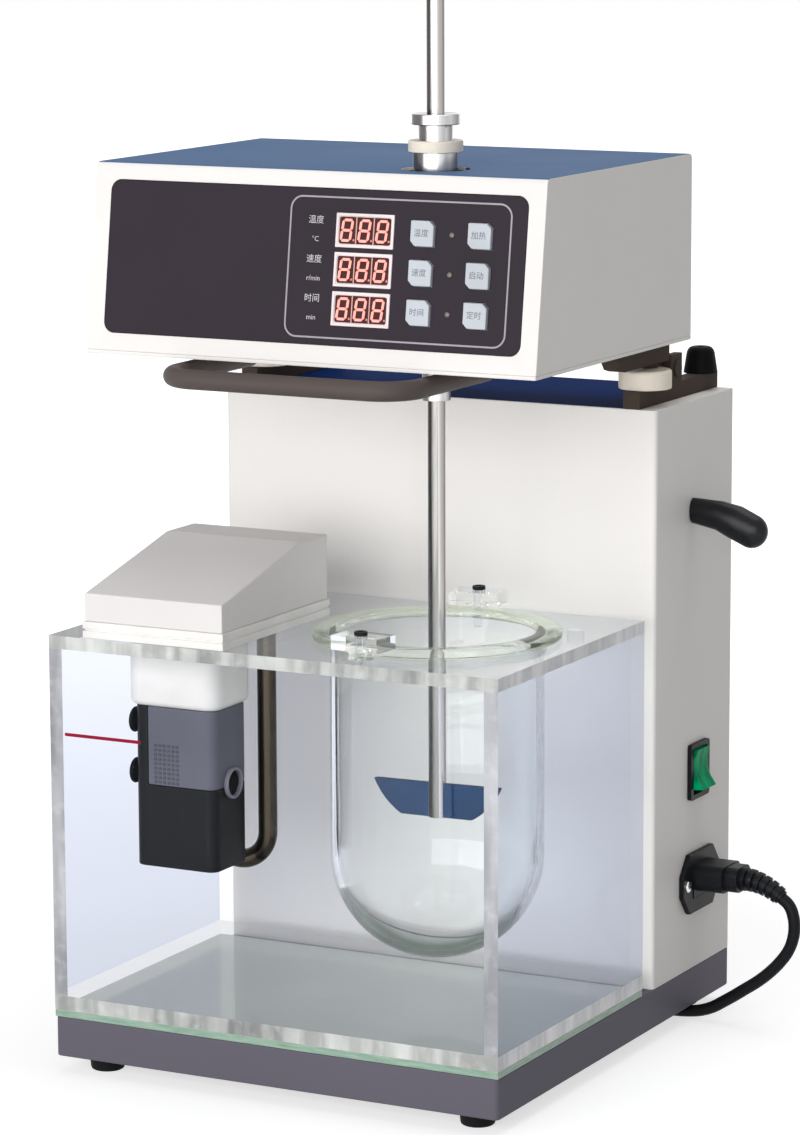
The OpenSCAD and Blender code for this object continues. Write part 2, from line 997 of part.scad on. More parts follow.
module key_outline(grow) {
    w = key_w / 2 + grow;
    h = key_h / 2 + grow;
    nip = 2.6;
    polygon([[-w, nip - h], [nip - w, -h], [w, -h], [w, h - nip], [w - nip, h], [-w, h]]);
}

module key_spot(index) {
    front_frame()
        translate([
            key_x + key_pitch_x * ((index - 1) % 2),
            row_mid + key_pitch_y * (1 - floor((index - 1) / 2)),
            0
        ])
            children();
}

module key(index) {
    color("white")
        key_spot(index) {
            translate([0, 0, -panel_t - rest_gap])
                linear_extrude(panel_t + rest_gap + key_proud)
                    key_outline(0);
            translate([0, 0, -panel_t - rest_gap - key_flange])
                linear_extrude(key_flange)
                    key_outline(1);
            translate([0, 0, free_gap + key_travel - board_back])
                cylinder(d = 4, h = board_back - free_gap - key_travel - panel_t);
        }
}

module display_spots() {
    front_frame()
        for (row = [-1, 0, 1])
            translate([display_x, row_mid + row * key_pitch_y, 0])
                children();
}

module led_spots() {
    front_frame()
        for (row = [-1, 0, 1])
            translate([key_x + key_pitch_x / 2, row_mid + row * key_pitch_y, 0])
                children();
}

module front_panel() {
    color([0.26, 0.22, 0.25])
        difference() {
            front_frame()
                translate([0, panel_mid, -panel_t])
                    linear_extrude(panel_t)
                        rounded_rect(panel_w, panel_h, 6);
            for (i = [1 : 6])
                key_spot(i)
                    translate([0, 0, -panel_t - cut])
                        linear_extrude(panel_t + 2 * cut)
                            key_outline(free_gap);
            display_spots()
                translate([0, 0, -panel_t - cut])
                    linear_extrude(panel_t + 2 * cut)
                        square([display_w, display_h], center = true);
            led_spots()
                translate([0, 0, -panel_t - cut])
                    cylinder(d = led_dia, h = panel_t + 2 * cut);
        }
}

module displays() {
    frame_t = 1.6;
    proud = 0.6;
    color("white")
        display_spots()
            difference() {
                translate([0, 0, -board_back])
                    linear_extrude(board_back + proud)
                        square([display_w, display_h], center = true);
                linear_extrude(proud + cut)
                    square([display_w - 2 * frame_t, display_h - 2 * frame_t], center = true);
            }
}

module indicator_leds() {
    color("gold")
        led_spots()
            translate([0, 0, -board_back])
                cylinder(d = led_dia - 2 * run_gap, h = board_back + 0.6);
}

module control_board() {
    color("darkgreen")
        front_frame()
            translate([(display_x + key_x + key_pitch_x) / 2, row_mid, -board_back - board_t])
                linear_extrude(board_t)
                    square([board_w, board_h], center = true);
}

module lift_handle() {
    bar_y = head_front - handle_reach;
    rise = handle_gap + handle_dia / 2;
    color("dimgray")
        translate([-handle_left, 0, head_z - rise]) {
            translate([handle_bend_r - handle_w / 2, bar_y, 0])
                rotate([0, 90, 0])
                    cylinder(d = handle_dia, h = handle_w - 2 * handle_bend_r);
            both_sides() {
                translate([handle_w / 2 - handle_bend_r, bar_y + handle_bend_r, 0])
                    rotate(-90)
                        rotate_extrude(angle = 90)
                            translate([handle_bend_r, 0])
                                circle(d = handle_dia);
                translate([handle_w / 2, bar_y + handle_bend_r, 0])
                    rotate([-90, 0, 0])
                        cylinder(d = handle_dia, h = handle_back - bar_y - handle_bend_r);
                translate([handle_w / 2, handle_back, rise])
                    rotate([0, 90, 0])
                        rotate_extrude(angle = 90)
                            translate([rise, 0])
                                circle(d = handle_dia);
            }
        }
}

module head_brackets() {
    nose_y = disc_y - disc_dia / 2 - 34;
    wide_end = hinge_y - 10;
    arm_front = disc_y + disc_dia / 2 + 2.2;
    nose = 6;
    pad_dia = 9;
    pad_back = 6;
    z = disc_top + 2.5;
    color("dimgray")
        both_sides()
            difference() {
                union() {
                    translate([rail_x - rail_w / 2, 0, 0])
                        along_x()
                            linear_extrude(rail_w)
                                polygon([
                                    [nose_y, head_z], [nose_y, head_z - nose / 2], [nose_y + nose, z + 1.5],
                                    [nose_y + 2 * nose, z], [wide_end, z], [wide_end, head_z]
                                ]);
                    translate([rail_x, disc_y + pad_back, disc_top + rest_gap])
                        cylinder(d = pad_dia, h = z - disc_top);
                    translate([rail_x - rail_w / 2, 0, 0])
                        along_x()
                            linear_extrude(ear_t) {
                                translate([arm_front, hinge_z - ear_r])
                                    square([wide_end - arm_front, head_z - hinge_z + ear_r]);
                                translate([arm_front, hinge_z - ear_r])
                                    square([hinge_y - arm_front, 2 * ear_r]);
                                translate([hinge_y, hinge_z])
                                    circle(ear_r);
                            }
                }
                translate([rail_x - rail_w, hinge_y, hinge_z])
                    rotate([0, 90, 0])
                        cylinder(d = pin_dia + 2 * run_gap, h = rail_w);
            }
}

// Drive

module drive_motor() {
    top = head_z + sheet_t + motor_h;
    shaft_room = motor_shaft_in + cut;
    color("gray")
        translate([motor_x, motor_y, 0])
            difference() {
                union() {
                    translate([0, 0, head_z + sheet_t])
                        cylinder(d = motor_dia, h = motor_h);
                    translate([0, 0, top])
                        cylinder(d = motor_boss_dia, h = motor_boss_h);
                }
                translate([0, 0, top - shaft_room])
                    cylinder(d = motor_shaft_dia + 2 * run_gap, h = shaft_room + motor_boss_h + cut);
            }
}

module pulley(dia) {
    rim = 2;
    rim_t = 1.5;
    cylinder(d = dia, h = pulley_w);
    for (z = [0, pulley_w - rim_t])
        translate([0, 0, z])
            cylinder(d = dia + 2 * rim, h = rim_t);
}

module motor_pulley() {
    shaft_z = head_z + sheet_t + motor_h - motor_shaft_in;
    color("silver")
        translate([motor_x, motor_y, 0]) {
            translate([0, 0, pulley_z])
                pulley(motor_pulley_dia);
            translate([0, 0, shaft_z])
                cylinder(d = motor_shaft_dia, h = pulley_z + cut - shaft_z);
        }
}

// Outline of a loop round both pulleys, at a distance from them
module belt_loop(grow) {
    r1 = pulley_dia / 2 + grow;
    r2 = motor_pulley_dia / 2 + grow;
    span = [motor_x - vessel_x, motor_y - vessel_y];
    lean = acos((r1 - r2) / norm(span));
    steps = 20;
    far = (360 - 2 * lean) / steps;
    near = 2 * lean / steps;
    translate([vessel_x, vessel_y])
        rotate(atan2(span.y, span.x))
            polygon(concat(
                [for (i = [0 : steps]) r1 * [cos(lean + far * i), sin(lean + far * i)]],
                [for (i = [0 : steps]) [norm(span), 0] + r2 * [cos(near * i - lean), sin(near * i - lean)]]
            ));
}

module drive_belt() {
    color("black")
        translate([0, 0, pulley_z + (pulley_w - belt_w) / 2])
            linear_extrude(belt_w)
                difference() {
                    belt_loop(free_gap + belt_t);
                    belt_loop(free_gap);
                }
}

module spindle_pulley() {
    color("silver")
        at_vessel(pulley_z)
            difference() {
                pulley(pulley_dia);
                translate([0, 0, -cut])
                    cylinder(d = spindle_dia + 2 * run_gap, h = pulley_w + 2 * cut);
            }
}

module bearing_housing() {
    color("dimgray")
        at_vessel(head_z) {
            difference() {
                union() {
                    translate([0, 0, -flange_plate_t])
                        cylinder(d = housing_od + 2 * flange_rim, h = flange_plate_t);
                    cylinder(d = housing_od, h = housing_h);
                }
                translate([0, 0, -flange_plate_t - cut])
                    cylinder(d = spindle_dia + 2 * lip_gap, h = housing_h);
                cylinder(d = bearing_od + 2 * run_gap, h = housing_h + cut);
            }
        }
}

module bearings() {
    color("silver")
        for (z = [0, housing_h - bearing_w])
            at_vessel(head_z + z)
                tube(bearing_od, spindle_dia + 2 * run_gap, bearing_w);
}

module spindle() {
    collar_h = collar_top - head_top_z + 8;
    color("silver")
        at_vessel()
            difference() {
                union() {
                    translate([0, 0, head_z - collar_drop])
                        cylinder(d = spindle_dia, h = collar_top - head_z + collar_drop);
                    translate([0, 0, collar_top - collar_h])
                        cylinder(d = collar_dia, h = collar_h);
                    translate([0, 0, collar_top])
                        cylinder(d = neck_dia, h = neck_h);
                    translate([0, 0, collar_top + neck_h])
                        cylinder(d = thread_dia, h = nut_h - 1.5);
                }
                translate([0, 0, head_z - collar_drop - cut])
                    cylinder(d = shaft_dia + 2 * run_gap, h = shaft_l);
            }
}

module chuck_ring() {
    color("wheat")
        at_vessel(collar_top)
            tube(ring_dia, neck_dia + 2 * run_gap, ring_h);
}

module chuck_nut() {
    color("gainsboro")
        at_vessel(collar_top + neck_h + rest_gap)
            difference() {
                cylinder(d = nut_dia, h = nut_h);
                translate([0, 0, -cut])
                    cylinder(d = thread_dia + 2 * run_gap, h = nut_h - 1.3 + cut);
                translate([0, 0, -cut])
                    cylinder(d = shaft_dia + 2 * free_gap, h = nut_h + 2 * cut);
            }
}

// Paddle

module paddle_shaft() {
    color("silver")
        at_vessel(blade_z) {
            difference() {
                cylinder(d = shaft_dia, h = shaft_l - 1);
                translate([-shaft_dia, -blade_t / 2, -cut])
                    cube([2 * shaft_dia, blade_t, blade_h + cut]);
            }
            translate([0, 0, shaft_l - 1])
                cylinder(d1 = shaft_dia, d2 = shaft_dia - 2, h = 1);
        }
}

// Blade between a top and a bottom chord, with side edges that are arcs
module paddle_blade() {
    side_r = 41.5;
    steps = 6;
    top = [blade_top / 2, blade_h];
    bottom = [blade_bottom / 2, 0];
    chord = top - bottom;
    middle = (top + bottom) / 2;
    away = unit([-chord.y, chord.x]) * sqrt(side_r * side_r - chord * chord / 4);
    o = middle + away;
    from = atan2(bottom.y - o.y, bottom.x - o.x);
    sweep = turn(atan2(top.y - o.y, top.x - o.x) - from);
    angles = [for (i = [0 : steps]) from + sweep * i / steps];
    side = [for (a = angles) o + side_r * [cos(a), sin(a)]];
    other = [for (i = [0 : steps]) [-side[steps - i].x, side[steps - i].y]];
    color("steelblue")
        at_vessel(blade_z)
            translate([0, blade_t / 2, 0])
                rotate([90, 0, 0])
                    linear_extrude(blade_t)
                        polygon(concat(side, other));
}

// Mains lead

module relief_sweep(from, angle, r) {
    along_x()
        rotate(from)
            rotate_extrude(angle = angle)
                translate([relief_bend, 0])
                    circle(r, $fn = 32);
}

module cord_connector() {
    nose_gap = 0.2;
    nose_back = 12;
    nose_out = 0.5;
    grip_l = connector_l * 0.7;
    grip_h = socket_h - 2;
    ribs = 6;
    rib_pitch = relief_turn / ribs;
    core_r = cord_r + 0.9;
    color("black")
        side_frame(inlet_y, inlet_z) {
            translate([0, 0, -nose_back])
                linear_extrude(nose_back + inlet_t + nose_out)
                    square([socket_w - 2 * nose_gap, socket_h - 2 * nose_gap], center = true);
            translate([0, grip_up, inlet_t])
                linear_extrude(grip_l)
                    rounded_rect(socket_w + 3, grip_h, 5);
            translate([0, grip_up, inlet_t + grip_l])
                linear_extrude(connector_l - grip_l)
                    rounded_rect(socket_w - 4, grip_h - 1, 5);
            translate([0, grip_up - relief_bend, inlet_t + connector_l]) {
                relief_sweep(0, relief_turn, core_r);
                for (i = [0 : ribs - 1])
                    relief_sweep(rib_pitch * i, rib_pitch * 0.6, core_r + 2.4 - 0.3 * i);
            }
        }
}

// Ring of points square to direction t at p; side is a direction that t never takes
function ring(p, t, r, sides, side) =
    let (across = unit(cross(t, side)), upward = cross(across, t))
    [for (i = [0 : sides - 1]) p + r * (cos(360 * i / sides) * across + sin(360 * i / sides) * upward)];

module sweep_tube(path, r, sides, side) {
    last = len(path) - 1;
    points = [
        for (i = [0 : last])
            each ring(path[i], unit(path[min(i + 1, last)] - path[max(i - 1, 0)]), r, sides, side)
    ];
    walls = [
        for (i = [0 : last - 1], k = [0 : sides - 1])
            let (a = i * sides + k, b = i * sides + (k + 1) % sides)
            each [[a, b, b + sides], [a, b + sides, a + sides]]
    ];
    start = [for (k = [1 : sides - 2]) [0, k + 1, k]];
    finish = [for (k = [1 : sides - 2]) last * sides * [1, 1, 1] + [0, k, k + 1]];
    polyhedron(points, concat(walls, start, finish));
}

module cord_run() {
    color("black")
        sweep_tube(cord_points, cord_r, 8, [1, 1, 1]);
}

// The coil spirals in, climbs to its second layer in part of a turn, and spirals out again
coil_total = 2 * coil_turns + coil_climb + coil_over;
function coil_r(t) = coil_in + coil_step * max(coil_turns - t, t - coil_turns - coil_climb, 0);
function coil_rise(t) = coil_step * min(max((t - coil_turns) / coil_climb, 0), 1);
function coil_point(t) = [
    coil_x + coil_r(t) * cos(360 * t),
    coil_y + coil_r(t) * sin(360 * t),
    coil_z + coil_rise(t)
];
coil_heading = 360 * coil_total + 90;
coil_last = coil_point(coil_total);
coil_end = coil_last + coil_lead * [cos(coil_heading), sin(coil_heading), 0];
coil_steps = round(coil_total * coil_rings);
coil_path = concat(
    [[cord_line_x, coil_y - cord_dia, coil_z]],
    [for (i = [0 : coil_steps]) coil_point(coil_total * i / coil_steps)],
    [(coil_last + coil_end) / 2, coil_end]
);

coil_gap = min([
    for (i = [0 : len(coil_path) - 1], k = [i + coil_rings / 2 : 1 : len(coil_path) - 1])
        norm(coil_path[i] - coil_path[k])
]) - cord_dia;
echo(coil_gap = coil_gap);

module cord_coil() {
    color("black")
        sweep_tube(coil_path, cord_r, 6, [0, 0, 1]);
}

module cord_tie() {
    bundle_mid = coil_in + coil_step * 1.38;
    bundle_w = 2 * coil_step + cord_dia + 2.6;
    bundle_h = coil_step + cord_dia + 2 * tie_gap;
    color("dimgray")
        translate([coil_x, coil_y, coil_z + coil_step / 2])
            rotate(tie_at)
                translate([bundle_mid, tie_w / 2, 0])
                    rotate([90, 0, 0])
                        linear_extrude(tie_w)
                            difference() {
                                rounded_rect(bundle_w + 2 * tie_t, bundle_h + 2 * tie_t, 2);
                                rounded_rect(bundle_w, bundle_h, 1.2);
                            }
}

module mains_plug() {
    relief_l = 24;
    grip_l = 32;
    grip_w = 36;
    grip_h = 22;
    blade = [17, 1.6, 6.4];
    color("black")
        translate(coil_end)
            rotate(coil_heading) {
                rotate([0, 90, 0])
                    cylinder(d1 = cord_dia + 2, d2 = cord_dia + 6, h = relief_l);
                translate([relief_l + grip_l / 2, 0, -grip_h / 2])
                    linear_extrude(grip_h)
                        rounded_rect(grip_l, grip_w, 7);
                for (spot = [[-6.4, -3], [6.4, -3], [0, 6]])
                    translate([relief_l + grip_l - cut, spot.x - blade.y / 2, spot.y - blade.z / 2])
                        cube(blade);
            }
}

placed() base_pan();
placed() base_feet();
placed() glass_mat();
placed() water_tank();
placed() tank_lid();
placed() vessel();
placed() clip_screws();
placed() vessel_clip_front();
placed() vessel_clip_rear();
placed() circulator_plate();
placed() circulator_cover();
placed() pump_neck();
placed() pump_motor();
placed() pump_canister();
placed() suction_cups();
placed() pump_nozzle();
placed() heater_tube();
placed() column_shell();
placed() column_back();
placed() column_top();
placed() cover_screws();
placed() switch_bezel();
placed() switch_rocker();
placed() power_inlet();
placed() lock_lever();
placed() hinge_rails();
placed() hinge_pins();
placed() rest_discs();
placed() rubber_bumpers();
placed() power_supply();
placed() head_shell();
placed() head_floor();
placed() front_panel();
placed() displays();
placed() indicator_leds();
placed() key(1);  // key_1
placed() key(2);  // key_2
placed() key(3);  // key_3
placed() key(4);  // key_4
placed() key(5);  // key_5
placed() key(6);  // key_6
placed() lift_handle();
placed() head_brackets();
placed() drive_motor();
placed() motor_pulley();
placed() drive_belt();
placed() spindle_pulley();
placed() bearing_housing();
placed() bearings();
placed() control_board();
placed() spindle();
placed() chuck_ring();
placed() chuck_nut();
placed() paddle_shaft();
placed() paddle_blade();
placed() cord_connector();
placed() cord_run();
placed() cord_coil();
placed() cord_tie();
placed() mains_plug();
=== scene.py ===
"""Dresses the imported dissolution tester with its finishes, fine details, mains lead and a plain studio."""

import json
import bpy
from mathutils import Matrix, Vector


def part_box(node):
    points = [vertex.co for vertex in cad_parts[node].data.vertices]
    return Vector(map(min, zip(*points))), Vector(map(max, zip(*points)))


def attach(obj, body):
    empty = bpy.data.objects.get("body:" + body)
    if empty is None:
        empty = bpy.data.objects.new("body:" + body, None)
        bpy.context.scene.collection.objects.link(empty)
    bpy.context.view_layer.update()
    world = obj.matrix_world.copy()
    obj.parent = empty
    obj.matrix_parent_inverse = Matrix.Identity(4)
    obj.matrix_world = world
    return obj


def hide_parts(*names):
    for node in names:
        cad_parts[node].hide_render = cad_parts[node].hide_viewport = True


bl_info = {
    "name": "Dissolution tester",
    "version": (1, 0, 0),
    "blender": (4, 5, 0),
    "location": "View3D > Sidebar > Tester",
    "description": "Dresses a bench dissolution tester with its finishes and details",
    "category": "Object",
}

from functools import cache, partialmethod
from math import atan2, cos, degrees, hypot, pi, radians, sin, tan, tau

import bmesh
import bpy
from bpy.props import FloatProperty, FloatVectorProperty, PointerProperty
from mathutils import Matrix, Vector

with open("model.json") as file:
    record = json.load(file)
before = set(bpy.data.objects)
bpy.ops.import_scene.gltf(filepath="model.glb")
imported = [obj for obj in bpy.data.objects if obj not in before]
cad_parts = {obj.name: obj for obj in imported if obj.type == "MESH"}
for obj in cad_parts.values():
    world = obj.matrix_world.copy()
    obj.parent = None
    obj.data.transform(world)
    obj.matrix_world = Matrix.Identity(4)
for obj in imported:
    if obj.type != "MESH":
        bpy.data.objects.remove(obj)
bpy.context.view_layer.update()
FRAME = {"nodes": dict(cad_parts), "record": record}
RECORD = FRAME["record"]
BODY_OF = {node: body for body, nodes in RECORD["behaviour"]["bodies"].items() for node in nodes}
SLOT_OF = {row["node"]: row["material_slot"] for row in RECORD["subparts"]}

MM = 0.001
PAN_LOW, PAN_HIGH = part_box("base_pan")


def tone(red, green, blue):
    """Linear colour of a display colour given as three numbers up to 255."""
    parts = (c / 255 for c in (red, green, blue))
    return tuple(c / 12.92 if c < 0.04045 else ((c + 0.055) / 1.055) ** 2.4 for c in parts)


def spot(x, y, z):
    """Place on the machine, in millimetres from the base's front middle and the bench, in the row frame."""
    return Vector(((PAN_LOW.x + PAN_HIGH.x) / 2 + x * MM, PAN_LOW.y + y * MM, z * MM))


def local(point):
    """Millimetres from the base's front middle and the bench for a point in the row frame."""
    return (point - spot(0, 0, 0)) / MM


def corners(node):
    """Low and high corner of a CAD node's box, in millimetres."""
    return [local(corner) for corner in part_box(node)]


def place(x, y, z, turn=Matrix()):
    """Matrix that puts a shape drawn in millimetres at a place on the machine."""
    return Matrix.Translation(spot(x, y, z)) @ turn @ Matrix.Scale(MM, 4)


def turned(angle, axis):
    """Turn about an axis by an angle in degrees."""
    return Matrix.Rotation(radians(angle), 4, axis)


def moved(x, y, z=0):
    """Shift in millimetres."""
    return Matrix.Translation((x, y, z))


HALF_W = local(PAN_HIGH).x
HEAD_LOW = corners("head_floor")[0]
# The head's front leans back 14 mm over its height of 101 mm.
FRONT_LEAN = degrees(atan2(14, 101))
PANEL = place(0, HEAD_LOW.y, HEAD_LOW.z, turned(90 - FRONT_LEAN, "X"))
# Turns a shape to the machine's right side: X to the back, Y up and Z outwards.
SIDE_TURN = Matrix(((0, 0, 1), (1, 0, 0), (0, 1, 0))).to_4x4()
TO_BACK = turned(-90, "X")
TO_FRONT = turned(90, "X")
# Upright axis that the vessel, the spindle and the paddle share.
AXIS = (53, 89)
# Rows and columns of the controls, in millimetres up and across the panel.
ROWS = (71.5, 51.2, 30.9)
KEY_COLUMNS = (64.3, 97.1)
DISPLAY_X = 30.5


def around(reach, angle):
    """Place at a distance from the shared axis, in a direction in degrees."""
    return AXIS[0] + reach * cos(radians(angle)), AXIS[1] + reach * sin(radians(angle))


def paint(label, about, *rgb):
    """Colour setting with a display colour as its default."""
    return FloatVectorProperty(
        name=label, description=about, subtype="COLOR", size=3, min=0, max=1, default=tone(*rgb)
    )


def length(label, about, value):
    """Length setting in metres."""
    return FloatProperty(name=label, description=about, unit="LENGTH", min=0, default=value)


def number(label, about, value, least=0):
    """Plain number setting."""
    return FloatProperty(name=label, description=about, min=least, default=value)


class TesterColours(bpy.types.PropertyGroup):
    """Colours of the finishes"""

    body: paint("Body", "Powder coat of head and column", 239, 236, 233)
    # Painted reflection: the blue on the head's top stands for blue surroundings mirrored in its white paint.
    head_top_reflection: paint("Head top", "Paint on top of the head", 84, 114, 154)
    # Painted reflection and shade: the dark blue on the column's top stands for blue surroundings mirrored in
    # its paint, darkened as the head's shade.
    column_top: paint("Column top", "Paint on top of the column", 20, 46, 100)
    base: paint("Base", "Paint of the base pan", 100, 97, 108)
    panel: paint("Panel", "Film of the control panel", 54, 47, 55)
    grip: paint("Handle", "Coat of the lift handle", 84, 75, 73)
    nylon: paint("Nylon", "Rest discs and chuck ring", 242, 233, 218)
    cover: paint("Cover", "Circulator cover", 229, 226, 225)
    pump: paint("Pump", "Pump motor housing", 104, 105, 117)
    black: paint("Black", "Black mouldings", 26, 27, 31)
    rocker: paint("Rocker", "Rocker of the mains switch", 0, 138, 90)
    digit: paint("Digit", "Lit display segments", 255, 146, 132)
    acrylic: paint("Acrylic", "Clear bath and lid", 252, 253, 255)
    glass: paint("Glass", "Vessel glass", 254, 255, 254)
    blade: paint("Blade", "Paddle blade", 10, 44, 78)


class TesterSizes(bpy.types.PropertyGroup):
    """Sizes of small details and of the studio"""

    edge: length("Edge", "Rounding of painted sheet edges", 0.0009)
    outline: length("Outline", "Width of the line round the controls", 0.0009)
    level_mark: length("Level mark", "Height of the red level line", 0.0018)
    cord: length("Cord", "Diameter of the mains lead", 0.0068)
    lens: number("Lens", "Focal length on a 36 mm frame", 196.15, 1)
    key_light: number("Key light", "Power that the soft boxes share out", 60)
    sky: number("Sky", "Strength of the even light", 0.27)


class Value:
    """A shader socket that takes Python arithmetic."""

    def __init__(self, nodes, socket):
        self.nodes = nodes
        self.socket = socket

    def math(self, operation, other):
        return self.nodes.node("Math", {0: self, 1: other}, operation=operation)

    __add__ = partialmethod(math, "ADD")
    __mul__ = partialmethod(math, "MULTIPLY")
    __pow__ = partialmethod(math, "POWER")
    __gt__ = partialmethod(math, "GREATER_THAN")


class Nodes:
    """A node tree under construction."""

    def __init__(self, owner):
        owner.use_nodes = True
        self.tree = owner.node_tree
        self.tree.nodes.clear()

    def fill(self, socket, value):
        """Links a value, or writes a number or colour, on a socket."""
        if isinstance(value, Value):
            self.tree.links.new(value.socket, socket)
        elif socket.type == "RGBA" and len(value) == 3:
            socket.default_value = (*value, 1)
        else:
            socket.default_value = value

    def node(self, kind, sockets, out=0, stops=(), **settings):
        """Adds a node with its settings, colour stops and sockets."""
        made = self.tree.nodes.new("ShaderNode" + kind)
        for key, value in settings.items():
            setattr(made, key, value)
        if stops:
            ramp = made.color_ramp.elements
            ramp.remove(ramp[1])
        for position, level in stops:
            stop = ramp[0] if position == 0 else ramp.new(position)
            stop.color = (level, level, level, 1)
        for key, value in sockets.items():
            self.fill(made.inputs[key], value)
        return Value(self, made.outputs[out])

    def either(self, factor, first, second):
        """Shader between two shaders."""
        return self.node("MixShader", {0: factor, 1: first, 2: second})

    def ray(self, kind):
        """Whether a ray of a kind meets the surface."""
        return self.node("LightPath", {}, f"Is {kind} Ray")

    def seen(self):
        """Whether the camera, a mirror or glass looks at the surface."""
        return (self.ray("Camera") + self.ray("Glossy") + self.ray("Transmission")) > 0.5


class Finish(Nodes):
    """A material under construction."""

    def __init__(self, name):
        self.material = bpy.data.materials.new(name + "_finish")
        super().__init__(self.material)
        self.shader = self.tree.nodes.new("ShaderNodeBsdfPrincipled")
        self.output = self.tree.nodes.new("ShaderNodeOutputMaterial")
        self.surface(self.plain())

    def plain(self):
        """The main shader, to be mixed with another."""
        return Value(self, self.shader.outputs[0])

    def where(self):
        """Place on the object, in metres."""
        return self.node("TexCoord", {}, "Object")

    def noise(self, scale, detail=2, stretch=(1, 1, 1)):
        """Noise on Object coordinates, scale in lumps to the metre."""
        spread = self.node("Mapping", {"Vector": self.where(), "Scale": stretch})
        return self.node("TexNoise", {"Vector": spread, "Scale": scale, "Detail": detail})

    def ramp(self, value, low, high):
        """Stretches a value so that low becomes 0 and high becomes 1."""
        return self.node("MapRange", {"Value": value, "From Min": low, "From Max": high})

    def mix(self, factor, first, second):
        """Colour between two colours."""
        return self.node("Mix", {0: factor, 6: first, 7: second}, 2, data_type="RGBA")

    def bump(self, height, distance, strength):
        """Normal of a surface that rises and falls with a value."""
        return self.node("Bump", {"Height": height, "Distance": distance, "Strength": strength})

    def surface(self, shader):
        """Puts a mixed shader on the surface."""
        self.fill(self.output.inputs["Surface"], shader)
        return self.material

    def set(self, **sockets):
        """Writes the main shader's sockets, named with underscores."""
        for key, value in sockets.items():
            self.fill(self.shader.inputs[key.replace("_", " ")], value)
        return self.material


def shade(colour, factor):
    """The colour, lighter or darker."""
    return tuple(min(1, c * factor) for c in colour)


@cache
def powder_coat(name, colour, roughness=0.5, shine=0.3):
    """Sprayed paint with a fine orange-peel skin and faint unevenness."""
    look = Finish(name)
    cloud = look.ramp(look.noise(9, 4), 0.3, 0.7)
    peel = look.noise(900, 2)
    speck = look.ramp(look.noise(2600, 1), 0.62, 0.75)
    tinted = look.mix(cloud, shade(colour, 0.955), shade(colour, 1.015))
    return look.set(
        Base_Color=look.mix(speck * 0.35, tinted, shade(colour, 0.86)),
        Roughness=cloud * 0.1 + (roughness - 0.05),
        Specular_IOR_Level=shine,
        Normal=look.bump(peel, 0.00012, 0.2),
    )


@cache
def moulded(name, colour, roughness=0.4, grain=0.15, shine=0.35, scale=2600):
    """Moulded plastic or rubber with a fine grain and faint wear."""
    look = Finish(name)
    cloud = look.ramp(look.noise(22, 5), 0.32, 0.7)
    fine = look.noise(scale, 3)
    return look.set(
        Base_Color=look.mix(cloud, shade(colour, 0.88), shade(colour, 1.06)),
        Roughness=cloud * 0.12 + fine * 0.08 + (roughness - 0.1),
        Specular_IOR_Level=shine,
        Normal=look.bump(fine, 0.0001, grain),
    )


@cache
def turned_metal(name, colour, roughness=0.22, lines=(14, 14, 1500)):
    """Machined steel with fine tool lines along one direction."""
    look = Finish(name)
    line = look.noise(1, 3, lines)
    smear = look.ramp(look.noise(35, 4), 0.35, 0.7)
    return look.set(
        Base_Color=look.mix(smear, shade(colour, 0.9), colour),
        Metallic=1,
        Roughness=line * 0.12 + smear * 0.06 + (roughness - 0.09),
        Normal=look.bump(line, 0.00002, 0.25),
    )


# Painted reflections: lightness of bright steel round half a turn, and the two directions that the half turn
# is counted from, across the camera's view and toward the camera.
PAINTED_REFLECTION_BANDS = (
    (0, 0.95), (0.08, 0.9), (0.1, 0.07), (0.28, 0.06), (0.33, 0.34), (0.42, 0.84), (0.5, 1), (0.56, 0.82),
    (0.64, 0.56), (0.71, 0.62), (0.78, 0.36), (0.86, 0.18), (0.9, 0.88), (1, 0.95),
)
BAND_ACROSS = (0.886, 0.463, 0)
BAND_TOWARD = (0.463, -0.886, 0)


@cache
def steel_with_painted_reflections(name, dark, light, axis):
    """Bright bar with painted reflections as dark and light bands fixed round its upright axis, and fine
    streaks along it.
    """
    look = Finish(name)
    out = look.node("VectorMath", {0: look.where(), 1: spot(*axis, 0)}, operation="SUBTRACT")
    across = look.node("VectorMath", {0: out, 1: BAND_ACROSS}, "Value", operation="DOT_PRODUCT")
    toward = look.node("VectorMath", {0: out, 1: BAND_TOWARD}, "Value", operation="DOT_PRODUCT")
    turn = look.node("Math", {0: across, 1: toward}, operation="ARCTAN2")
    share = look.node("Math", {0: turn * (1 / pi) + 0.5}, operation="FRACT")
    band = look.node("ValToRGB", {"Fac": share}, stops=PAINTED_REFLECTION_BANDS)
    fine = look.noise(1, 2, (2400, 2400, 6))
    streak = look.ramp(look.noise(1, 3, (520, 520, 1.5)), 0.3, 0.7)
    painted_reflection = look.mix(band, dark, light)
    return look.set(
        Base_Color=look.mix(streak * 0.16, painted_reflection, dark),
        Metallic=0.72,
        Roughness=fine * 0.1 + 0.12,
        Normal=look.bump(fine, 0.00002, 0.2),
    )


# Heights in metres between which the foot of the glass takes its painted shade.
FOOT_SHADE_HEIGHTS = (0.104, 0.08)


